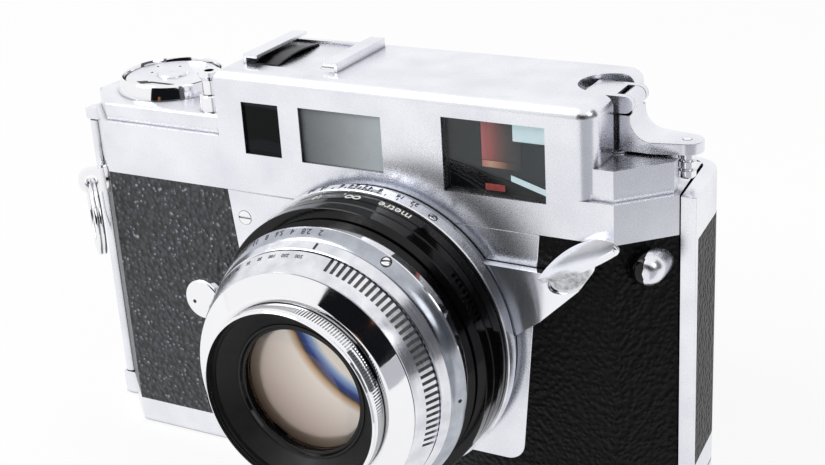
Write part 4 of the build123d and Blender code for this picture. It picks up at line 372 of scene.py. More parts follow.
def graded(name, axis, box, stops, smooth, rough, **values):
    """Finish whose tone runs along one axis of a box, as light falls off inside a window."""
    tree, coat, place = start_material(name, stops[0][1], **values)
    parts = add_node(tree, SPLIT, links={0: place}, out=None).outputs
    index = "XYZ".index(axis)
    share = add_node(tree, RANGE, between(box[0][index], box[1][index], 0, 1), {"Value": parts[axis]})
    drift = add_node(tree, NOISE, {"Scale": per_mm(6.0), "Detail": 3.0}, {"Vector": place})
    wavy = add_node(tree, MATH, {1: 0.12}, {0: drift, 2: share}, operation="MULTIPLY_ADD")
    add_node(tree, RAMP, links={"Fac": wavy}, stops=stops, feeds=coat["Base Color"])
    add_node(tree, RANGE, between(0.3, 0.7, smooth, rough), {"Value": drift}, feeds=coat["Roughness"])


def clear_glass(name, code, ior, **values):
    """Ground and polished glass: sharp reflections, with a trace of haze from cleaning."""
    tree, coat, place = start_material(name, code, Transmission_Weight=1.0, IOR=ior, **values)
    haze = add_node(tree, NOISE, {"Scale": per_mm(4.0), "Detail": 3.0}, {"Vector": place})
    add_node(tree, RANGE, between(0.3, 0.7, 0.0, 0.02), {"Value": haze}, feeds=coat["Roughness"])


def inner_lens_painted_reflections():
    """Coated inner lens group with painted reflections and a faint glow: a warm grey that pales to the upper
    right, with a painted blue and white band.
    """
    values = {"Roughness": 0.3, "Metallic": 0.5, "Emission_Strength": 0.12}
    tree, coat, place = start_material("inner_lens_painted_reflections", "958A86", **values)
    diagonal = {1: (0.707, 0, 0.707)}
    across = add_node(tree, VECTOR, diagonal, {0: place}, out="Value", operation="DOT_PRODUCT")
    middle = 0.707 * AXIS_HEIGHT
    reach = 12.5 * MM
    share = add_node(tree, RANGE, between(middle - reach, middle + reach, 0, 1), {"Value": across})
    stops = [
        (0.0, "4A3C38"), (0.12, "8E827D"), (0.28, "BBB0AB"), (0.45, "D6CFCD"), (0.62, "F2EFEE"),
        (0.665, "C09A66"), (0.685, "15131C"), (0.715, "1C2C90"), (0.75, "8FB4EA"), (0.78, "FFFFFF"),
        (0.87, "FFFFFF"), (0.92, "2A2530"),
    ]
    tone = add_node(tree, RAMP, links={"Fac": share}, stops=stops, feeds=coat["Base Color"])
    tree.links.new(tone, coat["Emission Color"])


# Which finish each node of the frame takes
NODE_FINISHES = {
    "matt_chrome_plate": (
        "top_cover bottom_cover front_plate back_door accessory_shoe rewind_head crank_arm "
        "latch_slide rewind_release eyepiece_bezel counter_dial"
    ),
    "turned_chrome_plate": "depth_scale_ring aperture_ring index_ring speed_ring front_cell",
    "polished_chrome_plate": (
        "shutter_housing front_bezel focus_knob release_button release_collar sync_socket strap_lug "
        "strap_ring crank_knob cover_screws hinge_pin rewind_fork counter_bezel"
    ),
    "thumbed_chrome_plate": "advance_lever",
    "pebbled_leather": "front_leather door_leather",
    "gloss_black_enamel": "focus_ring",
    "black_anodised_alloy": (
        "name_ring lens_mount_tube shutter_front viewfinder_block pressure_plate take_up_spool sync_contact"
    ),
    "grey_cast_alloy": "body_casting sprocket_wheel",
    "blued_spring_steel": "shoe_spring pressure_spring",
    "blued_blade_steel": (
        "iris_blade_1 iris_blade_2 iris_blade_3 iris_blade_4 iris_blade_5 "
        "shutter_blade_1 shutter_blade_2 shutter_blade_3"
    ),
    "machined_brass": "tripod_bush",
    "clear_window_glass": "viewfinder_window eyepiece_glass",
    "smoked_window_glass": "rangefinder_window",
    "frosted_window_glass": "illumination_window",
    "gilded_half_mirror": "half_mirror",
    "coated_lens_glass": "front_glass rear_glass",
}
# Nodes whose edges are pressed, turned or polished round, and the nodes that are only shaded smooth
ROUNDED_NODES = (
    "top_cover bottom_cover front_plate back_door accessory_shoe advance_lever rewind_head crank_arm "
    "latch_slide eyepiece_bezel"
)
SMOOTH_NODES = (
    "focus_knob release_button release_collar sync_socket sync_contact strap_lug strap_ring crank_knob "
    "cover_screws front_glass rear_glass rewind_release tripod_bush hinge_pin rewind_fork name_ring "
    "lens_mount_tube shutter_front"
)

# The rose mirror and the painted warm glint of the finder: where they run from left to right, and their
# tones, painted to fall off from light to dark
ROSE_LEFT = 22.9
ROSE_RIGHT = 31.0
ROSE_SPAN = (Vector((ROSE_LEFT * MM, 0, 0)), Vector((ROSE_RIGHT * MM, 0, 0)))
ROSE_STOPS = [(0.08, "E47A7C"), (0.3, "CC6C68"), (0.5, "8E5A56"), (0.72, "544846"), (1.0, "2F3034")]
GLINT_STOPS = [(0.08, "F29A88"), (0.3, "FFC2A4"), (0.5, "D89878"), (0.72, "6A5048"), (1.0, "2F3034")]
# Tones of the smoked window from its foot to its top, and of the frosted one from left to right
SMOKE_STOPS = [
    (0.1, "06070A"), (0.12, "14181D"), (0.3, "13161B"), (0.34, "030406"), (0.95, "040508"), (1.0, "2A2D33")
]
FROST_STOPS = [(0.04, "3C3D40"), (0.13, "6E7175"), (0.55, "979B9E"), (1.0, "BCC4C7")]


def finish(name):
    """A finish that the finishes operator has made."""
    return bpy.data.materials[name]


def dress(node, name):
    """Give a node of the frame one finish."""
    node.data.materials.clear()
    node.data.materials.append(finish(name))


def smooth_group():
    """Geometry nodes that shade a mesh smooth and keep its edges sharp past the limit."""
    found = bpy.data.node_groups.get("smooth_by_angle")
    if found:
        return found
    group = bpy.data.node_groups.new("smooth_by_angle", "GeometryNodeTree")
    for way in ("INPUT", "OUTPUT"):
        group.interface.new_socket("Geometry", in_out=way, socket_type="NodeSocketGeometry")
    start = add_node(group, "NodeGroupInput")
    rounded = add_node(group, "GeometryNodeSetShadeSmooth", links={"Geometry": start})
    angle = add_node(group, "GeometryNodeInputMeshEdgeAngle")
    limit = {"B": math.radians(SHARP_ANGLE)}
    greater = {"data_type": "FLOAT", "operation": "GREATER_THAN"}
    sharp = add_node(group, "FunctionNodeCompare", limit, {"A": angle}, **greater)
    edges = {"Geometry": rounded, "Selection": sharp}
    kept = add_node(group, "GeometryNodeSetShadeSmooth", {"Shade Smooth": False}, edges, domain="EDGE")
    add_node(group, "NodeGroupOutput", links={0: kept}, out=None)
    return group


def soften(piece, width):
    """Weld a node's loose triangles, round its edges and shade it smooth, all as modifiers."""
    weld = piece.modifiers.new("weld", "WELD")
    weld.merge_threshold = 0.001 * MM
    if width:
        flat = piece.modifiers.new("flat_faces", "DECIMATE")
        flat.decimate_type = "DISSOLVE"
        flat.angle_limit = math.radians(0.5)
        edge = piece.modifiers.new("round_edges", "BEVEL")
        edge.width = width
        edge.segments = 2
        edge.limit_method = "ANGLE"
        edge.angle_limit = math.radians(35)
        edge.use_clamp_overlap = True
    smooth = piece.modifiers.new("smooth", "NODES")
    smooth.node_group = smooth_group()
    weigh = piece.modifiers.new("weigh", "WEIGHTED_NORMAL")
    weigh.keep_sharp = True


def new_piece(name, mesh, body, slot, *finishes):
    """Make an object from a bmesh, give it its finishes and let it ride on a body."""
    data = bpy.data.meshes.new(name)
    mesh.to_mesh(data)
    mesh.free()
    piece = bpy.data.objects.new(name, data)
    bpy.context.scene.collection.objects.link(piece)
    for coat in finishes:
        data.materials.append(finish(coat))
    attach(piece, body)
    return piece


def spun(outline, origin, axis, segments):
    """Closed shape spun from an outline of (distance along the axis, radius) points in millimetres."""
    side = UP if abs(axis.z) < 0.5 else Vector((1, 0, 0))
    mesh = bmesh.new()
    points = [mesh.verts.new(origin + (axis * along + side * radius) * MM) for along, radius in outline]
    edges = [mesh.edges.new(pair) for pair in zip(points, points[1:] + points[:1])]
    bmesh.ops.spin(
        mesh, geom=points + edges, cent=origin, axis=axis, angle=2 * math.pi, steps=segments, use_merge=True
    )
    bmesh.ops.remove_doubles(mesh, verts=mesh.verts, dist=0.002 * MM)
    bmesh.ops.recalc_face_normals(mesh, faces=mesh.faces)
    return mesh


def shade(mesh, limit=SHARP_ANGLE):
    """Shade a bmesh smooth, with its edges sharp past a limit in degrees."""
    for face in mesh.faces:
        face.smooth = True
    for edge in mesh.edges:
        edge.smooth = not (edge.is_manifold and edge.calc_face_angle() > math.radians(limit))


def lens_place(face):
    """Station, radius and angle of a face's middle on the lens axis, in millimetres and degrees."""
    middle = face.calc_center_median() - LENS_FOOT
    angle = math.degrees(math.atan2(middle.z, middle.x)) % 360
    return -middle.y / MM, math.hypot(middle.x, middle.z) / MM, angle


def block(mesh, low, high):
    """Add a box between two corners, in millimetres, to a bmesh."""
    low = Vector(low) * MM
    high = Vector(high) * MM
    size = high - low
    matrix = Matrix.Translation((low + high) / 2) @ Matrix.Diagonal((*size, 1))
    return bmesh.ops.create_cube(mesh, size=1, matrix=matrix)["verts"]


def figure(mesh, text, height):
    """Add a flat filled figure to a bmesh, centred at the origin, and give its vertices."""
    curve = bpy.data.curves.new("figure", "FONT")
    curve.body = text
    curve.size = height * MM
    curve.align_x = "CENTER"
    curve.align_y = "CENTER"
    curve.resolution_u = 3
    curve.extrude = bpy.context.scene.film_camera_sizes.ink_thickness
    holder = bpy.data.objects.new("figure", curve)
    bpy.context.scene.collection.objects.link(holder)
    data = bpy.data.meshes.new_from_object(holder.evaluated_get(bpy.context.evaluated_depsgraph_get()))
    before = len(mesh.verts)
    mesh.from_mesh(data)
    mesh.verts.ensure_lookup_table()
    bpy.data.objects.remove(holder)
    bpy.data.curves.remove(curve)
    bpy.data.meshes.remove(data)
    return mesh.verts[before:]


def tick(mesh, width, length):
    """Add a short scale line to a bmesh, centred at the origin, and give its vertices."""
    ink = bpy.context.scene.film_camera_sizes.ink_thickness / MM
    return block(mesh, (-width / 2, -length / 2, -ink), (width / 2, length / 2, ink))


def lay_on_ring(verts, ring, angle, station):
    """Wrap flat vertices on a ring given by (back station, back radius, front station, front radius)."""
    back, back_radius, front, front_radius = ring
    slope = (front_radius - back_radius) / (front - back)
    for vert in verts:
        along = station + vert.co.y / MM
        radius = back_radius + slope * (along - back) + vert.co.z / MM
        turn = math.radians(angle) + vert.co.x / MM / radius
        offset = Vector((radius * math.cos(turn), -along, radius * math.sin(turn)))
        vert.co = LENS_FOOT + offset * MM


class FILMCAMERA_OT_finishes(bpy.types.Operator):
    """Make the finishes and give each node of the frame its own"""

    bl_idname = "filmcamera.finishes"
    bl_label = "Finishes"

    def execute(self, context):
        colours = context.scene.film_camera_colours
        sizes = context.scene.film_camera_sizes
        matt_chrome(colours)
        polished_chrome(colours)
        turned_chrome("turned_chrome_plate", "D3D5DC", colours.chrome)
        # A darker copy of the turned chrome, painted shade for the aperture ring
        turned_chrome("shaded_turned_chrome_plate", "9EA3AC", "BCC0C8")
        leather_cloth(colours, sizes.leather_grain)
        gloss_enamel(colours)
        thumbed_chrome(colours)
        # Chrome in the bottom of the flutes, painted darker as the shade there
        mottled("shaded_flute_chrome", "4E4C4A", "7C7977", 0.8, 0.35, 0.5, Metallic=0.7)
        # Anodised alloy: dull black with a faint grey bloom
        mottled("black_anodised_alloy", "0A0A0B", "131316", 3.0, 0.42, 0.55, Specular_IOR_Level=0.3)
        # Sand-cast alloy with thin grey paint
        mottled("grey_cast_alloy", "2A2B2D", "3A3B3D", 1.5, 0.5, 0.7)
        # Heat-blued steel: dark, with a soft metal sheen
        mottled("blued_spring_steel", "2B2B2E", "4A4A4E", 2.0, 0.25, 0.4, Metallic=1.0)
        mottled("blued_blade_steel", "1E1F22", "2C2D31", 1.2, 0.3, 0.45, Metallic=1.0)
        # Machined brass: warm and bright, a little tarnished
        mottled("machined_brass", "A98645", "CDAA62", 1.5, 0.25, 0.4, Metallic=1.0)
        # Gold-coated half mirror: a warm dark mirror
        mottled("gilded_half_mirror", "8A4A3C", "B4685A", 4.0, 0.05, 0.1, Metallic=1.0)
        # Paint rubbed into engraved figures: matt, a little uneven; the dark one also paints the shade in
        # screw recesses and the spanner hole
        mottled("dark_paint_and_shade", colours.dark_ink, "34343A", 0.8, 0.5, 0.65)
        # The pale paint also glows faintly: painted light that keeps the figures bright
        glow = {"Emission_Color": linear(colours.pale_ink), "Emission_Strength": 0.2}
        mottled("glowing_pale_paint", "DCDCD8", colours.pale_ink, 0.8, 0.5, 0.65, **glow)
        # Coated glasses in the finder: tinted mirrors painted with the light of the room, the rose one
        # falling off to the right as painted shade, the warm glint painted, and the pale blue glass glowing
        # as a painted reflection
        graded("rose_coated_mirror", "X", ROSE_SPAN, ROSE_STOPS, 0.3, 0.4)
        graded("warm_glint_glass", "X", ROSE_SPAN, GLINT_STOPS, 0.3, 0.4)
        sky = {"Emission_Color": linear("CFEFF6"), "Emission_Strength": 0.3}
        mottled("glowing_sky_reflection", "DDF6FA", "FFFFFF", 3.0, 0.3, 0.4, **sky)
        mottled("red_filter_glass", "B03A34", "EE6A60", 1.5, 0.3, 0.4)
        # Painted wall at the back of the finder: dark grey
        mottled("grey_finder_paint", "22262B", "2F343B", 4.0, 0.4, 0.5)
        # Flocked baffle: soft black with no gloss
        mottled("flocked_baffle", "040405", "0A0A0C", 1.0, 0.8, 0.9, Specular_IOR_Level=0.1)
        clear_glass("clear_window_glass", "F6FAFB", 1.3, Specular_IOR_Level=0.1)
        # Magnesium fluoride coat on the lens glass tints its reflections
        clear_glass("coated_lens_glass", "FBF6F0", 1.6, Thin_Film_Thickness=130.0, Thin_Film_IOR=1.38)
        # Smoked glass of the rangefinder: near black, paler at its top where light leaks in
        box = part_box("rangefinder_window")
        graded("smoked_window_glass", "Z", box, SMOKE_STOPS, 0.03, 0.08, Specular_IOR_Level=0.12)
        # Etched glass that lights the frame lines: grey, darker at its left end
        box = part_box("illumination_window")
        graded("frosted_window_glass", "X", box, FROST_STOPS, 0.2, 0.35, Specular_IOR_Level=0.25)
        inner_lens_painted_reflections()
        for name, nodes in NODE_FINISHES.items():
            for node in nodes.split():
                dress(NODES[node], name)
        for node in ROUNDED_NODES.split():
            soften(NODES[node], sizes.edge_round)
        for node in SMOOTH_NODES.split():
            soften(NODES[node], 0)
        return {"FINISHED"}


class FILMCAMERA_OT_front_cell(bpy.types.Operator):
    """Turn the front cell with its knurled rim, its filter thread and the black seat of the glass"""

    bl_idname = "filmcamera.front_cell"
    bl_label = "Front cell"

    def execute(self, context):
        count = context.scene.film_camera_sizes.knurl_count
        rim = 18.4
        bore = 17.85
        groove_depth = 0.22 * MM
        # Thread of the filter rim, drawn coarser than its real pitch so that it shows
        thread = [(33.8 + 0.4 * turn, 17.75 + 0.16 * (turn % 2)) for turn in range(5)]
        outline = [
            (26.0, 12.4), (26.0, 20.48), (29.8, 20.48), (29.8, rim - 0.15), (32.1, rim - 0.15),
            (32.3, rim), (34.5, rim), (34.7, rim - 0.12), (35.45, rim - 0.12), (35.7, rim - 0.35),
            (35.7, 17.9), *reversed(thread), (33.7, 17.32), (30.0, 17.32), (30.0, 13.22), (27.6, 13.22),
            (27.6, 12.4),
        ]
        mesh = spun(outline, LENS_FOOT, LENS_AXIS, 2 * count)
        grooves = []
        for face in mesh.faces:
            station, radius, angle = lens_place(face)
            face.material_index = int(radius < bore)
            if radius > rim - 0.05 and 32.3 < station < 34.5 and int(angle / 180 * count) % 2:
                grooves.append(face)
        bmesh.ops.inset_individual(mesh, faces=grooves, thickness=0.03 * MM, depth=-groove_depth)
        shade(mesh)
        coats = ("polished_chrome_plate", "black_anodised_alloy")
        cell = new_piece("knurled_front_cell", mesh, "lens_unit", "satin_chrome", *coats)
        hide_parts("front_cell")
        return {"FINISHED"}


class FILMCAMERA_OT_turned_rings(bpy.types.Operator):
    """Turn the plain chrome rings of the lens with their softened edges"""

    bl_idname = "filmcamera.turned_rings"
    bl_label = "Turned rings"

    def execute(self, context):
        aperture = [
            (18.6, 24.0), (18.6, 27.75), (18.75, 28.0), (19.4, 27.85), (20.4, 27.4), (21.3, 26.85),
            (21.6, 26.5), (21.7, 26.3), (21.7, 24.0),
        ]
        depth = [(2.4, 26.2), (2.4, 30.3), (2.6, 30.5), (5.2, 30.5), (5.4, 30.3), (5.4, 26.2)]
        # The housing: barrel behind, polished flange in front and the room for the blades
        housing = [
            (-4.0, 11.0), (-4.0, 22.05), (14.0, 22.05), (14.0, 27.5), (14.1, 27.6), (17.8, 27.6),
            (18.15, 27.3), (18.15, 25.6), (15.0, 25.6), (15.0, 10.5), (13.9, 10.5), (13.9, 14.92),
            (2.0, 14.92), (2.0, 11.0),
        ]
        index = [(21.9, 24.0), (21.9, 26.4), (22.05, 26.6), (24.15, 25.9), (24.3, 25.7), (24.3, 24.0)]
        bezel = [
            (29.8, 18.42), (29.8, 23.25), (29.95, 23.35), (31.5, 19.85), (31.65, 19.6), (31.65, 18.42),
        ]
        plan = [
            ("edged_depth_ring", "depth_scale_ring", "camera_body", "turned_chrome_plate", depth),
            ("polished_flange", "shutter_housing", "lens_unit", "polished_chrome_plate", housing),
            # The aperture ring takes the darker copy of the turned chrome, as painted shade
            ("rounded_aperture_ring", "aperture_ring", "aperture", "shaded_turned_chrome_plate", aperture),
            ("edged_index_ring", "index_ring", "lens_unit", "turned_chrome_plate", index),
            ("polished_front_bezel", "front_bezel", "lens_unit", "polished_chrome_plate", bezel),
        ]
        for name, node, body, plate, outline in plan:
            mesh = spun(outline, LENS_FOOT, LENS_AXIS, 240)
            shade(mesh)
            ring = new_piece(name, mesh, body, "satin_chrome", plate)
            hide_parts(node)
        return {"FINISHED"}


class FILMCAMERA_OT_focus_ring(bpy.types.Operator):
    """Turn the black focus ring in three bands and cut the teeth of its two grips"""

    bl_idname = "filmcamera.focus_ring"
    bl_label = "Focus ring"

    def execute(self, context):
        outline = [
            (5.6, 26.2), (5.6, 29.65), (5.75, 29.8), (8.2, 29.8), (8.25, 29.55), (8.45, 29.55),
            (8.5, 29.8), (10.2, 29.7), (10.4, 29.45), (10.7, 29.45), (10.9, 29.75), (13.45, 29.75),
            (13.6, 29.6), (13.6, 26.2),
        ]
        steps = 320
        # The two grips are opposite each other, this far round and this wide on each side, in degrees
        grip_middle = 31.5
        grip_half = 10.5
        tooth_depth = 0.5 * MM
        mesh = spun(outline, LENS_FOOT, LENS_AXIS, steps)
        notches = []
        for face in mesh.faces:
            station, radius, angle = lens_place(face)
            gripped = abs((angle - grip_middle + 90) % 180 - 90) < grip_half
            if gripped and radius > 29.0 and station > 10.9 and int(angle / 360 * steps) % 2:
                notches.append(face)
        bmesh.ops.inset_region(mesh, faces=notches, thickness=0.0, depth=-tooth_depth, use_even_offset=True)
        shade(mesh)
        ring = new_piece("toothed_focus_ring", mesh, "focus", "black_paint", "gloss_black_enamel")
        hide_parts("focus_ring")
        return {"FINISHED"}


class FILMCAMERA_OT_speed_ring(bpy.types.Operator):
    """Turn the speed ring and mill its two fluted grips"""

    bl_idname = "filmcamera.speed_ring"
    bl_label = "Speed ring"

    def execute(self, context):
        sizes = context.scene.film_camera_sizes
        outline = [
            (24.5, 22.55), (24.5, 24.5), (24.95, 24.5), (24.95, 25.7), (27.7, 24.52), (29.65, 23.5),
            (29.7, 23.35), (29.7, 22.55),
        ]
        # The two fluted grips are opposite each other: where one starts and how far it runs, in degrees
        grip_start = -20.5
        grip_sweep = 99.5
        mesh = spun(outline, LENS_FOOT, LENS_AXIS, 2 * sizes.flute_count)
        flutes = []
        for face in mesh.faces:
            station, radius, angle = lens_place(face)
            face.material_index = int(station < 24.94 and radius < 25.0)
            gripped = (angle - grip_start) % 180 < grip_sweep
            if gripped and 25.0 < station < 27.6 and int(angle / 180 * sizes.flute_count) % 2:
                flutes.append(face)
        bmesh.ops.inset_individual(mesh, faces=flutes, thickness=0.04 * MM, depth=-sizes.flute_depth)
        # The floors of the flutes lie under the ring's slope, and take the chrome painted dark as shade
        for face in mesh.faces:
            station, radius = lens_place(face)[:2]
            if 25.0 < station < 27.7 and radius < 25.35 - 0.43 * (station - 24.95):
                face.material_index = 1
        shade(mesh)
        coats = ("turned_chrome_plate", "shaded_flute_chrome")
        ring = new_piece("fluted_speed_ring", mesh, "speed", "satin_chrome", *coats)
        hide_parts("speed_ring")
        return {"FINISHED"}


class FILMCAMERA_OT_lens_inside(bpy.types.Operator):
    """Set the inner lens group and the retaining ring behind and round the front glass"""

    bl_idname = "filmcamera.lens_inside"
    bl_label = "Lens inside"

    def execute(self, context):
        # Convex inner group just behind the front glass
        turns = [math.radians(turn) for turn in range(0, 91, 6)]
        edge = 12.2
        dome = [(24.6 + 2.8 * math.cos(turn), edge * math.sin(turn)) for turn in turns]
        mesh = spun([(24.4, 0.0), *dome, (24.4, edge)], LENS_FOOT, LENS_AXIS, 96)
        shade(mesh)
        new_piece("inner_lens_group", mesh, "lens_unit", "clear_glass", "inner_lens_painted_reflections")
        # Stepped black ring that screws down on the glass
        outline = [
            (30.35, 12.55), (30.35, 13.5), (30.9, 13.75), (31.3, 13.75), (31.3, 13.3), (30.8, 13.0),
            (30.8, 12.55),
        ]
        mesh = spun(outline, LENS_FOOT, LENS_AXIS, 128)
        shade(mesh)
        new_piece("retaining_ring", mesh, "lens_unit", "black_paint", "gloss_black_enamel")
        return {"FINISHED"}


class FILMCAMERA_OT_lens_scales(bpy.types.Operator):
    """Fill the engraved scales and marks of the lens rings"""

    bl_idname = "filmcamera.lens_scales"
    bl_label = "Lens scales"

    def execute(self, context):
        self.depth_scale()
        self.distance_scale()
        self.aperture_scale()
        self.speed_scale()
        self.ring_screws()
        self.knob_pin()
        return {"FINISHED"}

    def depth_scale(self):
        """Apertures on both sides of a centre line, with a tick for each."""
        ring = (2.4, 30.53, 5.4, 30.53)
        centre = 91
        mesh = bmesh.new()
        for name, offset in (("22", 22), ("16", 16), ("8", 8), ("4", 4), ("2", 1.8)):
            for side in (-1, 1):
                lay_on_ring(figure(mesh, name, 1.75), ring, centre + side * offset, 3.25)
        for offset in (1.8, 3, 4, 5.6, 8, 11, 16, 22):
            for side in (-1, 1):
                lay_on_ring(tick(mesh, 0.16, 0.8), ring, centre + side * offset, 4.6)
        lay_on_ring(tick(mesh, 0.22, 1.6), ring, centre, 4.2)
        new_piece("depth_scale_figures", mesh, "camera_body", "black_paint", "dark_paint_and_shade")

    def distance_scale(self):
        """Distances in metres, white on the black focus ring."""
        ring = (5.6, 29.83, 13.6, 29.83)
        mesh = bmesh.new()
        plan = [("∞", 90.5, 4.0), ("metre", 73, 2.9), ("10", 106, 2.4), ("5", 117, 2.4), ("3", 128, 2.4)]
        plan += [("2", 139, 2.4), ("1.5", 150, 2.4), ("1.2", 161, 2.4)]
        for name, angle, height in plan:
            lay_on_ring(figure(mesh, name, height), ring, angle, 7.2)
        for angle in (95, 106, 117, 128, 139, 150, 161):
            lay_on_ring(tick(mesh, 0.2, 0.7), ring, angle, 6.1)
        new_piece("distance_figures", mesh, "focus", "black_paint", "glowing_pale_paint")

    def aperture_scale(self):
        """Apertures on the aperture ring and the index mark beside them."""
        mesh = bmesh.new()
        for index, name in enumerate(("2", "2.8", "4", "5.6", "8", "11", "16", "22")):
            lay_on_ring(figure(mesh, name, 1.7), APERTURE_SLOPE, 89.5 + 6.5 * index, 19.95)
        new_piece("aperture_figures", mesh, "aperture", "black_paint", "dark_paint_and_shade")
        mesh = bmesh.new()
        lay_on_ring(tick(mesh, 0.45, 1.5), (22.05, 26.64, 24.15, 25.94), 88, 23.1)
        new_piece("index_mark", mesh, "lens_unit", "black_paint", "dark_paint_and_shade")

    def speed_scale(self):
        """Shutter speeds on the plain part of the speed ring."""
        ring = (24.95, 25.72, 27.7, 24.54)
        mesh = bmesh.new()
        for index, name in enumerate(("500", "250", "100", "50", "25", "10", "5", "2", "1", "B")):
            lay_on_ring(figure(mesh, name, 1.1), ring, 92 + 6.8 * index, 26.1)
        new_piece("speed_figures", mesh, "speed", "black_paint", "dark_paint_and_shade")

    def knob_pin(self):
        """Dark pin end in the face of the focus knob."""
        low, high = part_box("focus_knob")
        mesh = bmesh.new()
        bmesh.ops.create_circle(mesh, cap_ends=True, segments=20, radius=0.42 * MM)
        turn = Matrix.Rotation(math.radians(90), 4, "X")
        middle = Vector((low.x + 2.4 * MM, low.y - 0.01 * MM, (low.z + high.z) / 2 - 0.6 * MM))
        bmesh.ops.transform(mesh, matrix=Matrix.Translation(middle) @ turn, verts=mesh.verts)
        new_piece("focus_knob_pin", mesh, "focus", "black_paint", "dark_paint_and_shade")

    def ring_screws(self):
        """Grub screws and a spanner hole in the rims of the rings."""
        plan = [
            ("depth_ring_screw", (2.4, 30.5, 5.4, 30.5), 60.5, 3.9, 0.8, "camera_body"),
            ("aperture_ring_screw", APERTURE_SLOPE, 60.0, 20.0, 0.85, "aperture"),
            ("spanner_hole", APERTURE_SLOPE, -3.5, 20.2, 0.3, "aperture"),
        ]
        for name, ring, angle, station, radius, body in plan:
            mesh = bmesh.new()
            # Dark discs paint the shade of the spanner hole and of the recess round each screw head, and the
            # dark slot paints the shade in the slot
            bmesh.ops.create_circle(mesh, cap_ends=True, segments=24, radius=radius * 1.25 * MM)
            bmesh.ops.translate(mesh, verts=mesh.verts, vec=(0, 0, 0.02 * MM))
            if radius > 0.5:
                ball = bmesh.ops.create_uvsphere(mesh, u_segments=24, v_segments=12, radius=radius * MM)
                head = ball["verts"]
                bmesh.ops.scale(mesh, verts=head, vec=(1, 1, 0.28))
                for face in {face for vert in head for face in vert.link_faces}:
                    face.smooth = True
                    face.material_index = 1
                slot = block(mesh, (-radius, -0.14, 0.0), (radius, 0.14, 0.3 * radius))
                bmesh.ops.rotate(mesh, verts=slot, cent=(0, 0, 0), matrix=Matrix.Rotation(0.6, 3, "Z"))
            lay_on_ring(mesh.verts, ring, angle, station)
            new_piece(name, mesh, body, "black_paint", "dark_paint_and_shade", "polished_chrome_plate")


class FILMCAMERA_OT_counter(bpy.types.Operator):
    """Turn the counter's bezel and dial, and fill the marks of the dial"""

    bl_idname = "filmcamera.counter"
    bl_label = "Frame counter"

    def execute(self, context):
        low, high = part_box("counter_bezel")
        foot = Vector(((low.x + high.x) / 2, (low.y + high.y) / 2, low.z))
        rim = (high.x - low.x) / 2 / MM
        tall = (high.z - low.z) / MM
        outline = [
            (0.0, 10.35), (0.0, rim), (0.25, rim), (tall - 0.6, rim - 0.7), (tall - 0.15, rim - 0.9),
            (tall, rim - 1.1), (tall - 0.5, rim - 1.35), (1.2, 10.35),
        ]
        mesh = spun(outline, foot, UP, 128)
        shade(mesh)
        coat = "polished_chrome_plate"
        bezel = new_piece("polished_counter_bezel", mesh, "camera_body", "bright_chrome", coat)
        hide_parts("counter_bezel")
        top = tall - 0.75
        outline = [
            (1.0, 0.0), (1.0, 10.2), (top - 0.25, 10.2), (top, 9.95), (top, 3.35), (top + 0.35, 3.2),
            (top + 0.5, 3.0), (top + 0.5, 0.7), (top + 0.42, 0.6), (top + 0.42, 0.0),
        ]
        mesh = spun(outline, foot, UP, 96)
        shade(mesh)
        dial = new_piece("dished_counter_dial", mesh, "counter", "satin_chrome", "matt_chrome_plate")
        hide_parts("counter_dial")
        mesh = bmesh.new()
        ink = context.scene.film_camera_sizes.ink_thickness / MM
        diamond = block(mesh, (-0.95, -0.95, -ink), (0.95, 0.95, ink))
        eighth = Matrix.Rotation(math.radians(45), 3, "Z")
        bmesh.ops.rotate(mesh, verts=diamond, cent=(0, 0, 0), matrix=eighth)
        bmesh.ops.scale(mesh, verts=diamond, vec=(1.5, 0.8, 1))
        bmesh.ops.translate(mesh, verts=diamond, vec=Vector((-2.3, -7.0, 0)) * MM)
        block(mesh, (-1.2, -6.9, -ink), (5.0, -6.1, ink))
        for x, y in ((-2.0, 5.5), (-5.2, -0.4), (1.1, -8.7), (6.4, 3.4), (4.4, 6.6), (-6.8, 3.8)):
            dot = bmesh.ops.create_circle(mesh, cap_ends=True, segments=16, radius=0.28 * MM)["verts"]
            bmesh.ops.translate(mesh, verts=dot, vec=Vector((x, y, ink)) * MM)
        bmesh.ops.translate(mesh, verts=mesh.verts, vec=foot + UP * top * MM)
        new_piece("counter_marks", mesh, "counter", "black_paint", "dark_paint_and_shade")
        return {"FINISHED"}


class FILMCAMERA_OT_sync_socket(bpy.types.Operator):
    """Turn the flash socket, a dome with its front black only on the half that faces the lens, as painted
    shade, and bright chrome on the other side
    """

    bl_idname = "filmcamera.sync_socket"
    bl_label = "Flash socket"

    def execute(self, context):
        low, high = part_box("sync_socket")
        foot = Vector(((low.x + high.x) / 2, high.y, (low.z + high.z) / 2))
        rim = (high.x - low.x) / 2 / MM - 0.3
        tall = (high.y - low.y) / MM
        outline = [
            (0.0, 0.0), (0.0, rim), (tall - 3.6, rim), (tall - 2.4, rim - 0.25),
            (tall - 1.5, rim - 0.75), (tall - 0.9, rim - 1.35), (tall - 0.65, rim - 2.1),
            (tall - 0.55, 0.0),
        ]
        mesh = spun(outline, foot, LENS_AXIS, 96)
        # The black enamel stops at the middle of the front: painted shade on the lens side of the dome
        for face in mesh.faces:
            middle = (face.calc_center_median() - foot) / MM
            face.material_index = int(-middle.y > 0.6 and middle.x < 0.25)
        shade(mesh, 50)
        coats = ("matt_chrome_plate", "gloss_black_enamel")
        socket = new_piece("domed_flash_socket", mesh, "camera_body", "bright_chrome", *coats)
        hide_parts("sync_socket", "sync_contact")
        return {"FINISHED"}


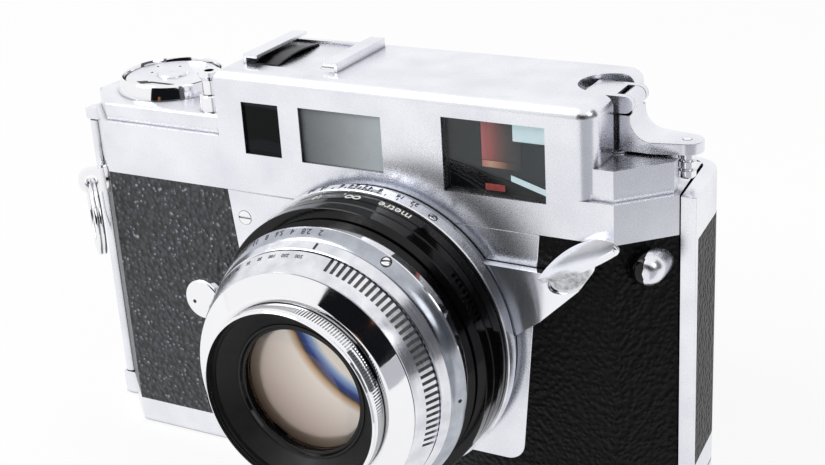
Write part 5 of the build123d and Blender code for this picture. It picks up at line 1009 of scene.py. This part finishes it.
class FILMCAMERA_OT_film_plate_spring(bpy.types.Operator):
    """Draw the leaf spring behind the pressure plate as a piece of its own"""

    bl_idname = "filmcamera.film_plate_spring"
    bl_label = "Film plate spring"

    def execute(self, context):
        node = NODES["pressure_spring"]
        mesh = bmesh.new()
        mesh.from_mesh(node.data)
        bmesh.ops.transform(mesh, matrix=node.matrix_world, verts=mesh.verts)
        shade(mesh)
        leaf = new_piece("yielding_leaf_spring", mesh, "door", "spring_steel", "blued_spring_steel")
        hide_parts("pressure_spring")
        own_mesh(leaf)
        return {"FINISHED"}


class FILMCAMERA_OT_finder(bpy.types.Operator):
    """Set the coated glasses and baffles that show through the viewfinder window"""

    bl_idname = "filmcamera.finder"
    bl_label = "Finder glasses"

    def execute(self, context):
        low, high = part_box("viewfinder_window")
        left, right = low.x / MM, high.x / MM
        floor, roof = low.z / MM, high.z / MM
        back = high.y / MM
        glint_left = 28.9
        # The warm and white glints and the sky reflection are painted light seen through the window
        # Left and right, near and far side behind the window, foot and top of each
        plan = [
            ("finder_back_wall", "grey_finder_paint", left, right, 0.55, 0.7, floor, roof),
            ("finder_rose_mirror", "rose_coated_mirror", ROSE_LEFT, ROSE_RIGHT, 0.42, 0.52, 74.0, roof),
            ("finder_warm_glint", "warm_glint_glass", ROSE_LEFT, ROSE_RIGHT, 0.42, 0.52, 72.6, 73.9),
            ("finder_sky_reflection", "glowing_sky_reflection", 29.4, right, 0.2, 0.4, 78.3, roof),
            ("finder_baffle", "flocked_baffle", left, right, 0.2, 0.4, floor, 70.9),
            ("finder_red_filter", "red_filter_glass", 23.6, 27.6, 0.05, 0.15, 68.2, 69.5),
            ("finder_white_glint", "glowing_sky_reflection", glint_left, right, 0.05, 0.15, 69.6, 70.8),
        ]
        for name, coat, start, end, near, far, foot, top in plan:
            mesh = bmesh.new()
            block(mesh, (start, back + near, foot), (end, back + far, top))
            edges = list(mesh.edges)
            bmesh.ops.bevel(
                mesh, geom=edges, offset=0.04 * MM, segments=1, profile=0.5, affect="EDGES", material=-1
            )
            if name == "finder_baffle":
                # The baffle's top edge falls from left to right
                for vert in mesh.verts:
                    if vert.co.z > 70 * MM:
                        vert.co.z += (2.6 - 0.24 * (vert.co.x / MM - left)) * MM
            if name == "finder_white_glint":
                for vert in mesh.verts:
                    vert.co.z += (0.9 - 0.3 * (vert.co.x / MM - glint_left)) * MM
            new_piece(name, mesh, "camera_body", "half_mirror", coat)
        return {"FINISHED"}


class FILMCAMERA_OT_stage(bpy.types.Operator):
    """Set the floor, the room light, the lamps, the cards and the camera"""

    bl_idname = "filmcamera.stage"
    bl_label = "Stage"

    def execute(self, context):
        stage = context.scene.film_camera_stage
        scene = context.scene
        scene.view_settings.view_transform = "Standard"
        self.floor(scene)
        self.world(scene, stage.room_light)
        self.lamps(scene, stage.key_power)
        self.cards(scene)
        self.camera(scene, stage)
        return {"FINISHED"}

    def seen_share(self, tree):
        """One where a camera, mirror or glass ray arrives, and nought for the light on the object."""
        path = add_node(tree, "ShaderNodeLightPath", out=None).outputs
        seen = path["Is Camera Ray"]
        for ray in ("Is Glossy Ray", "Is Transmission Ray"):
            seen = add_node(tree, MATH, links={0: seen, 1: path[ray]}, operation="MAXIMUM")
        return seen

    def flat_sheet(self, scene, name, coat, matrix):
        """Square sheet of one metre with one finish, sized, turned and placed by a matrix."""
        mesh = bmesh.new()
        bmesh.ops.create_grid(mesh, x_segments=1, y_segments=1, size=0.5)
        bmesh.ops.transform(mesh, matrix=matrix, verts=mesh.verts)
        data = bpy.data.meshes.new(name)
        mesh.to_mesh(data)
        mesh.free()
        data.materials.append(finish(coat))
        made = bpy.data.objects.new(name, data)
        scene.collection.objects.link(made)
        return made

    def floor(self, scene):
        """White paper that goes to white where it is seen and keeps a faint shadow."""
        tree = start_material("white_paper", "F8F8F8", Roughness=0.9)[0]
        share = add_node(tree, MATH, {1: 0.8}, {0: self.seen_share(tree)}, operation="MULTIPLY")
        glow = add_node(tree, "ShaderNodeEmission", {"Color": (1, 1, 1, 1), "Strength": 1.06})
        paper = tree.nodes["Principled BSDF"].outputs[0]
        surface = tree.nodes["Material Output"].inputs["Surface"]
        add_node(tree, "ShaderNodeMixShader", links={0: share, 1: paper, 2: glow}, feeds=surface)
        floor = self.flat_sheet(scene, "studio_floor", "white_paper", Matrix.Diagonal((6, 6, 1, 1)))

    def world(self, scene, strength):
        """White room: full white where it is seen, and an even light on the object."""
        world = bpy.data.worlds.new("white_room")
        world.use_nodes = True
        tree = world.node_tree
        back = tree.nodes["Background"].inputs
        back["Color"].default_value = (1, 1, 1, 1)
        seen = {"Value": self.seen_share(tree)}
        add_node(tree, RANGE, between(0.0, 1.0, strength, 1.0), seen, feeds=back["Strength"])
        scene.world = world

    def lamps(self, scene, power):
        """Large soft key lamp from the upper left front and a weaker one from the right."""
        target = Vector((0, 0, 0.04))
        plan = [
            ("key_lamp", (-0.7, -0.75, 0.95), 0.9, power),
            ("fill_lamp", (0.9, -0.35, 0.6), 0.5, power * 0.2),
        ]
        for name, place, size, watts in plan:
            data = bpy.data.lights.new(name, "AREA")
            data.shape = "DISK"
            data.size = size
            data.energy = watts
            lamp = bpy.data.objects.new(name, data)
            scene.collection.objects.link(lamp)
            lamp.location = place
            aim = target - Vector(place)
            lamp.rotation_euler = aim.to_track_quat("-Z", "Y").to_euler()

    def cards(self, scene):
        """Grey and dark cards out of the picture, which the chrome and the glass mirror."""
        plan = [
            ("right_floor_card", (0.32, -0.3, 0.003), (0.5, 0.5), (0, 0, 1), "C0C1C6"),
            ("right_wall_card", (1.2, -0.25, 0.6), (1.7, 1.2), (-1, 0, 0), "5C5D62"),
            ("front_wall_card", (0.45, -1.1, 0.36), (1.5, 0.72), (0, 1, 0), "131417"),
            ("front_floor_card", (0.4, -0.83, 0.004), (1.3, 0.54), (0, 0, 1), "232427"),
            ("warm_wall_card", (0.05, -1.09, 0.12), (0.09, 0.14), (0, 1, 0), "9A6440"),
        ]
        for name, place, size, facing, code in plan:
            glow = {"Emission_Color": linear(code), "Emission_Strength": 1.0}
            start_material(name, "000000", Specular_IOR_Level=0.0, **glow)
            turn = Vector(facing).to_track_quat("Z", "Y").to_matrix().to_4x4()
            matrix = Matrix.Translation(place) @ turn @ Matrix.Diagonal((*size, 1, 1))
            card = self.flat_sheet(scene, name, name, matrix)
            card.visible_camera = False
            card.visible_shadow = False
            card.visible_diffuse = False

    def camera(self, scene, stage):
        """Camera at the photograph's place, with the picture's own roll."""
        data = bpy.data.cameras.new("studio_camera")
        data.lens = stage.camera_lens
        data.sensor_width = 36.0
        data.sensor_fit = "HORIZONTAL"
        data.clip_start = 0.01
        camera = bpy.data.objects.new("studio_camera", data)
        scene.collection.objects.link(camera)
        round_turn = Matrix.Rotation(stage.camera_azimuth, 4, "Z")
        tilt = Matrix.Rotation(math.pi / 2 - stage.camera_elevation, 4, "X")
        roll = Matrix.Rotation(-stage.camera_roll, 4, "Z")
        camera.matrix_world = Matrix.Translation(stage.camera_place) @ round_turn @ tilt @ roll
        scene.camera = camera


class FILMCAMERA_PT_panel(bpy.types.Panel):
    """Lists the steps that dress the film camera"""

    bl_idname = "FILMCAMERA_PT_panel"
    bl_label = "Film camera"
    bl_space_type = "VIEW_3D"
    bl_region_type = "UI"
    bl_category = "Film camera"

    def draw(self, context):
        for operator in OPERATORS:
            self.layout.operator(operator.bl_idname)
        for group in (
            context.scene.film_camera_sizes,
            context.scene.film_camera_colours,
            context.scene.film_camera_stage,
        ):
            for name in group.__annotations__:
                self.layout.prop(group, name)


OPERATORS = (
    FILMCAMERA_OT_finishes,
    FILMCAMERA_OT_front_cell,
    FILMCAMERA_OT_turned_rings,
    FILMCAMERA_OT_focus_ring,
    FILMCAMERA_OT_speed_ring,
    FILMCAMERA_OT_lens_inside,
    FILMCAMERA_OT_lens_scales,
    FILMCAMERA_OT_counter,
    FILMCAMERA_OT_sync_socket,
    FILMCAMERA_OT_film_plate_spring,
    FILMCAMERA_OT_finder,
    FILMCAMERA_OT_stage,
)
CLASSES = (FilmCameraSizes, FilmCameraColours, FilmCameraStage, *OPERATORS, FILMCAMERA_PT_panel)


def register():
    """Register the classes and hang their settings on the scene."""
    for kind in CLASSES:
        bpy.utils.register_class(kind)
    bpy.types.Scene.film_camera_sizes = bpy.props.PointerProperty(type=FilmCameraSizes)
    bpy.types.Scene.film_camera_colours = bpy.props.PointerProperty(type=FilmCameraColours)
    bpy.types.Scene.film_camera_stage = bpy.props.PointerProperty(type=FilmCameraStage)


def unregister():
    """Take the settings and the classes away again."""
    del bpy.types.Scene.film_camera_stage
    del bpy.types.Scene.film_camera_colours
    del bpy.types.Scene.film_camera_sizes
    for kind in reversed(CLASSES):
        bpy.utils.unregister_class(kind)


def main():
    """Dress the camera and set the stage."""
    register()
    bpy.ops.filmcamera.finishes()
    bpy.ops.filmcamera.front_cell()
    bpy.ops.filmcamera.turned_rings()
    bpy.ops.filmcamera.focus_ring()
    bpy.ops.filmcamera.speed_ring()
    bpy.ops.filmcamera.lens_inside()
    bpy.ops.filmcamera.lens_scales()
    bpy.ops.filmcamera.counter()
    bpy.ops.filmcamera.sync_socket()
    bpy.ops.filmcamera.film_plate_spring()
    bpy.ops.filmcamera.finder()
    bpy.ops.filmcamera.stage()


if __name__ == "__main__":
    main()
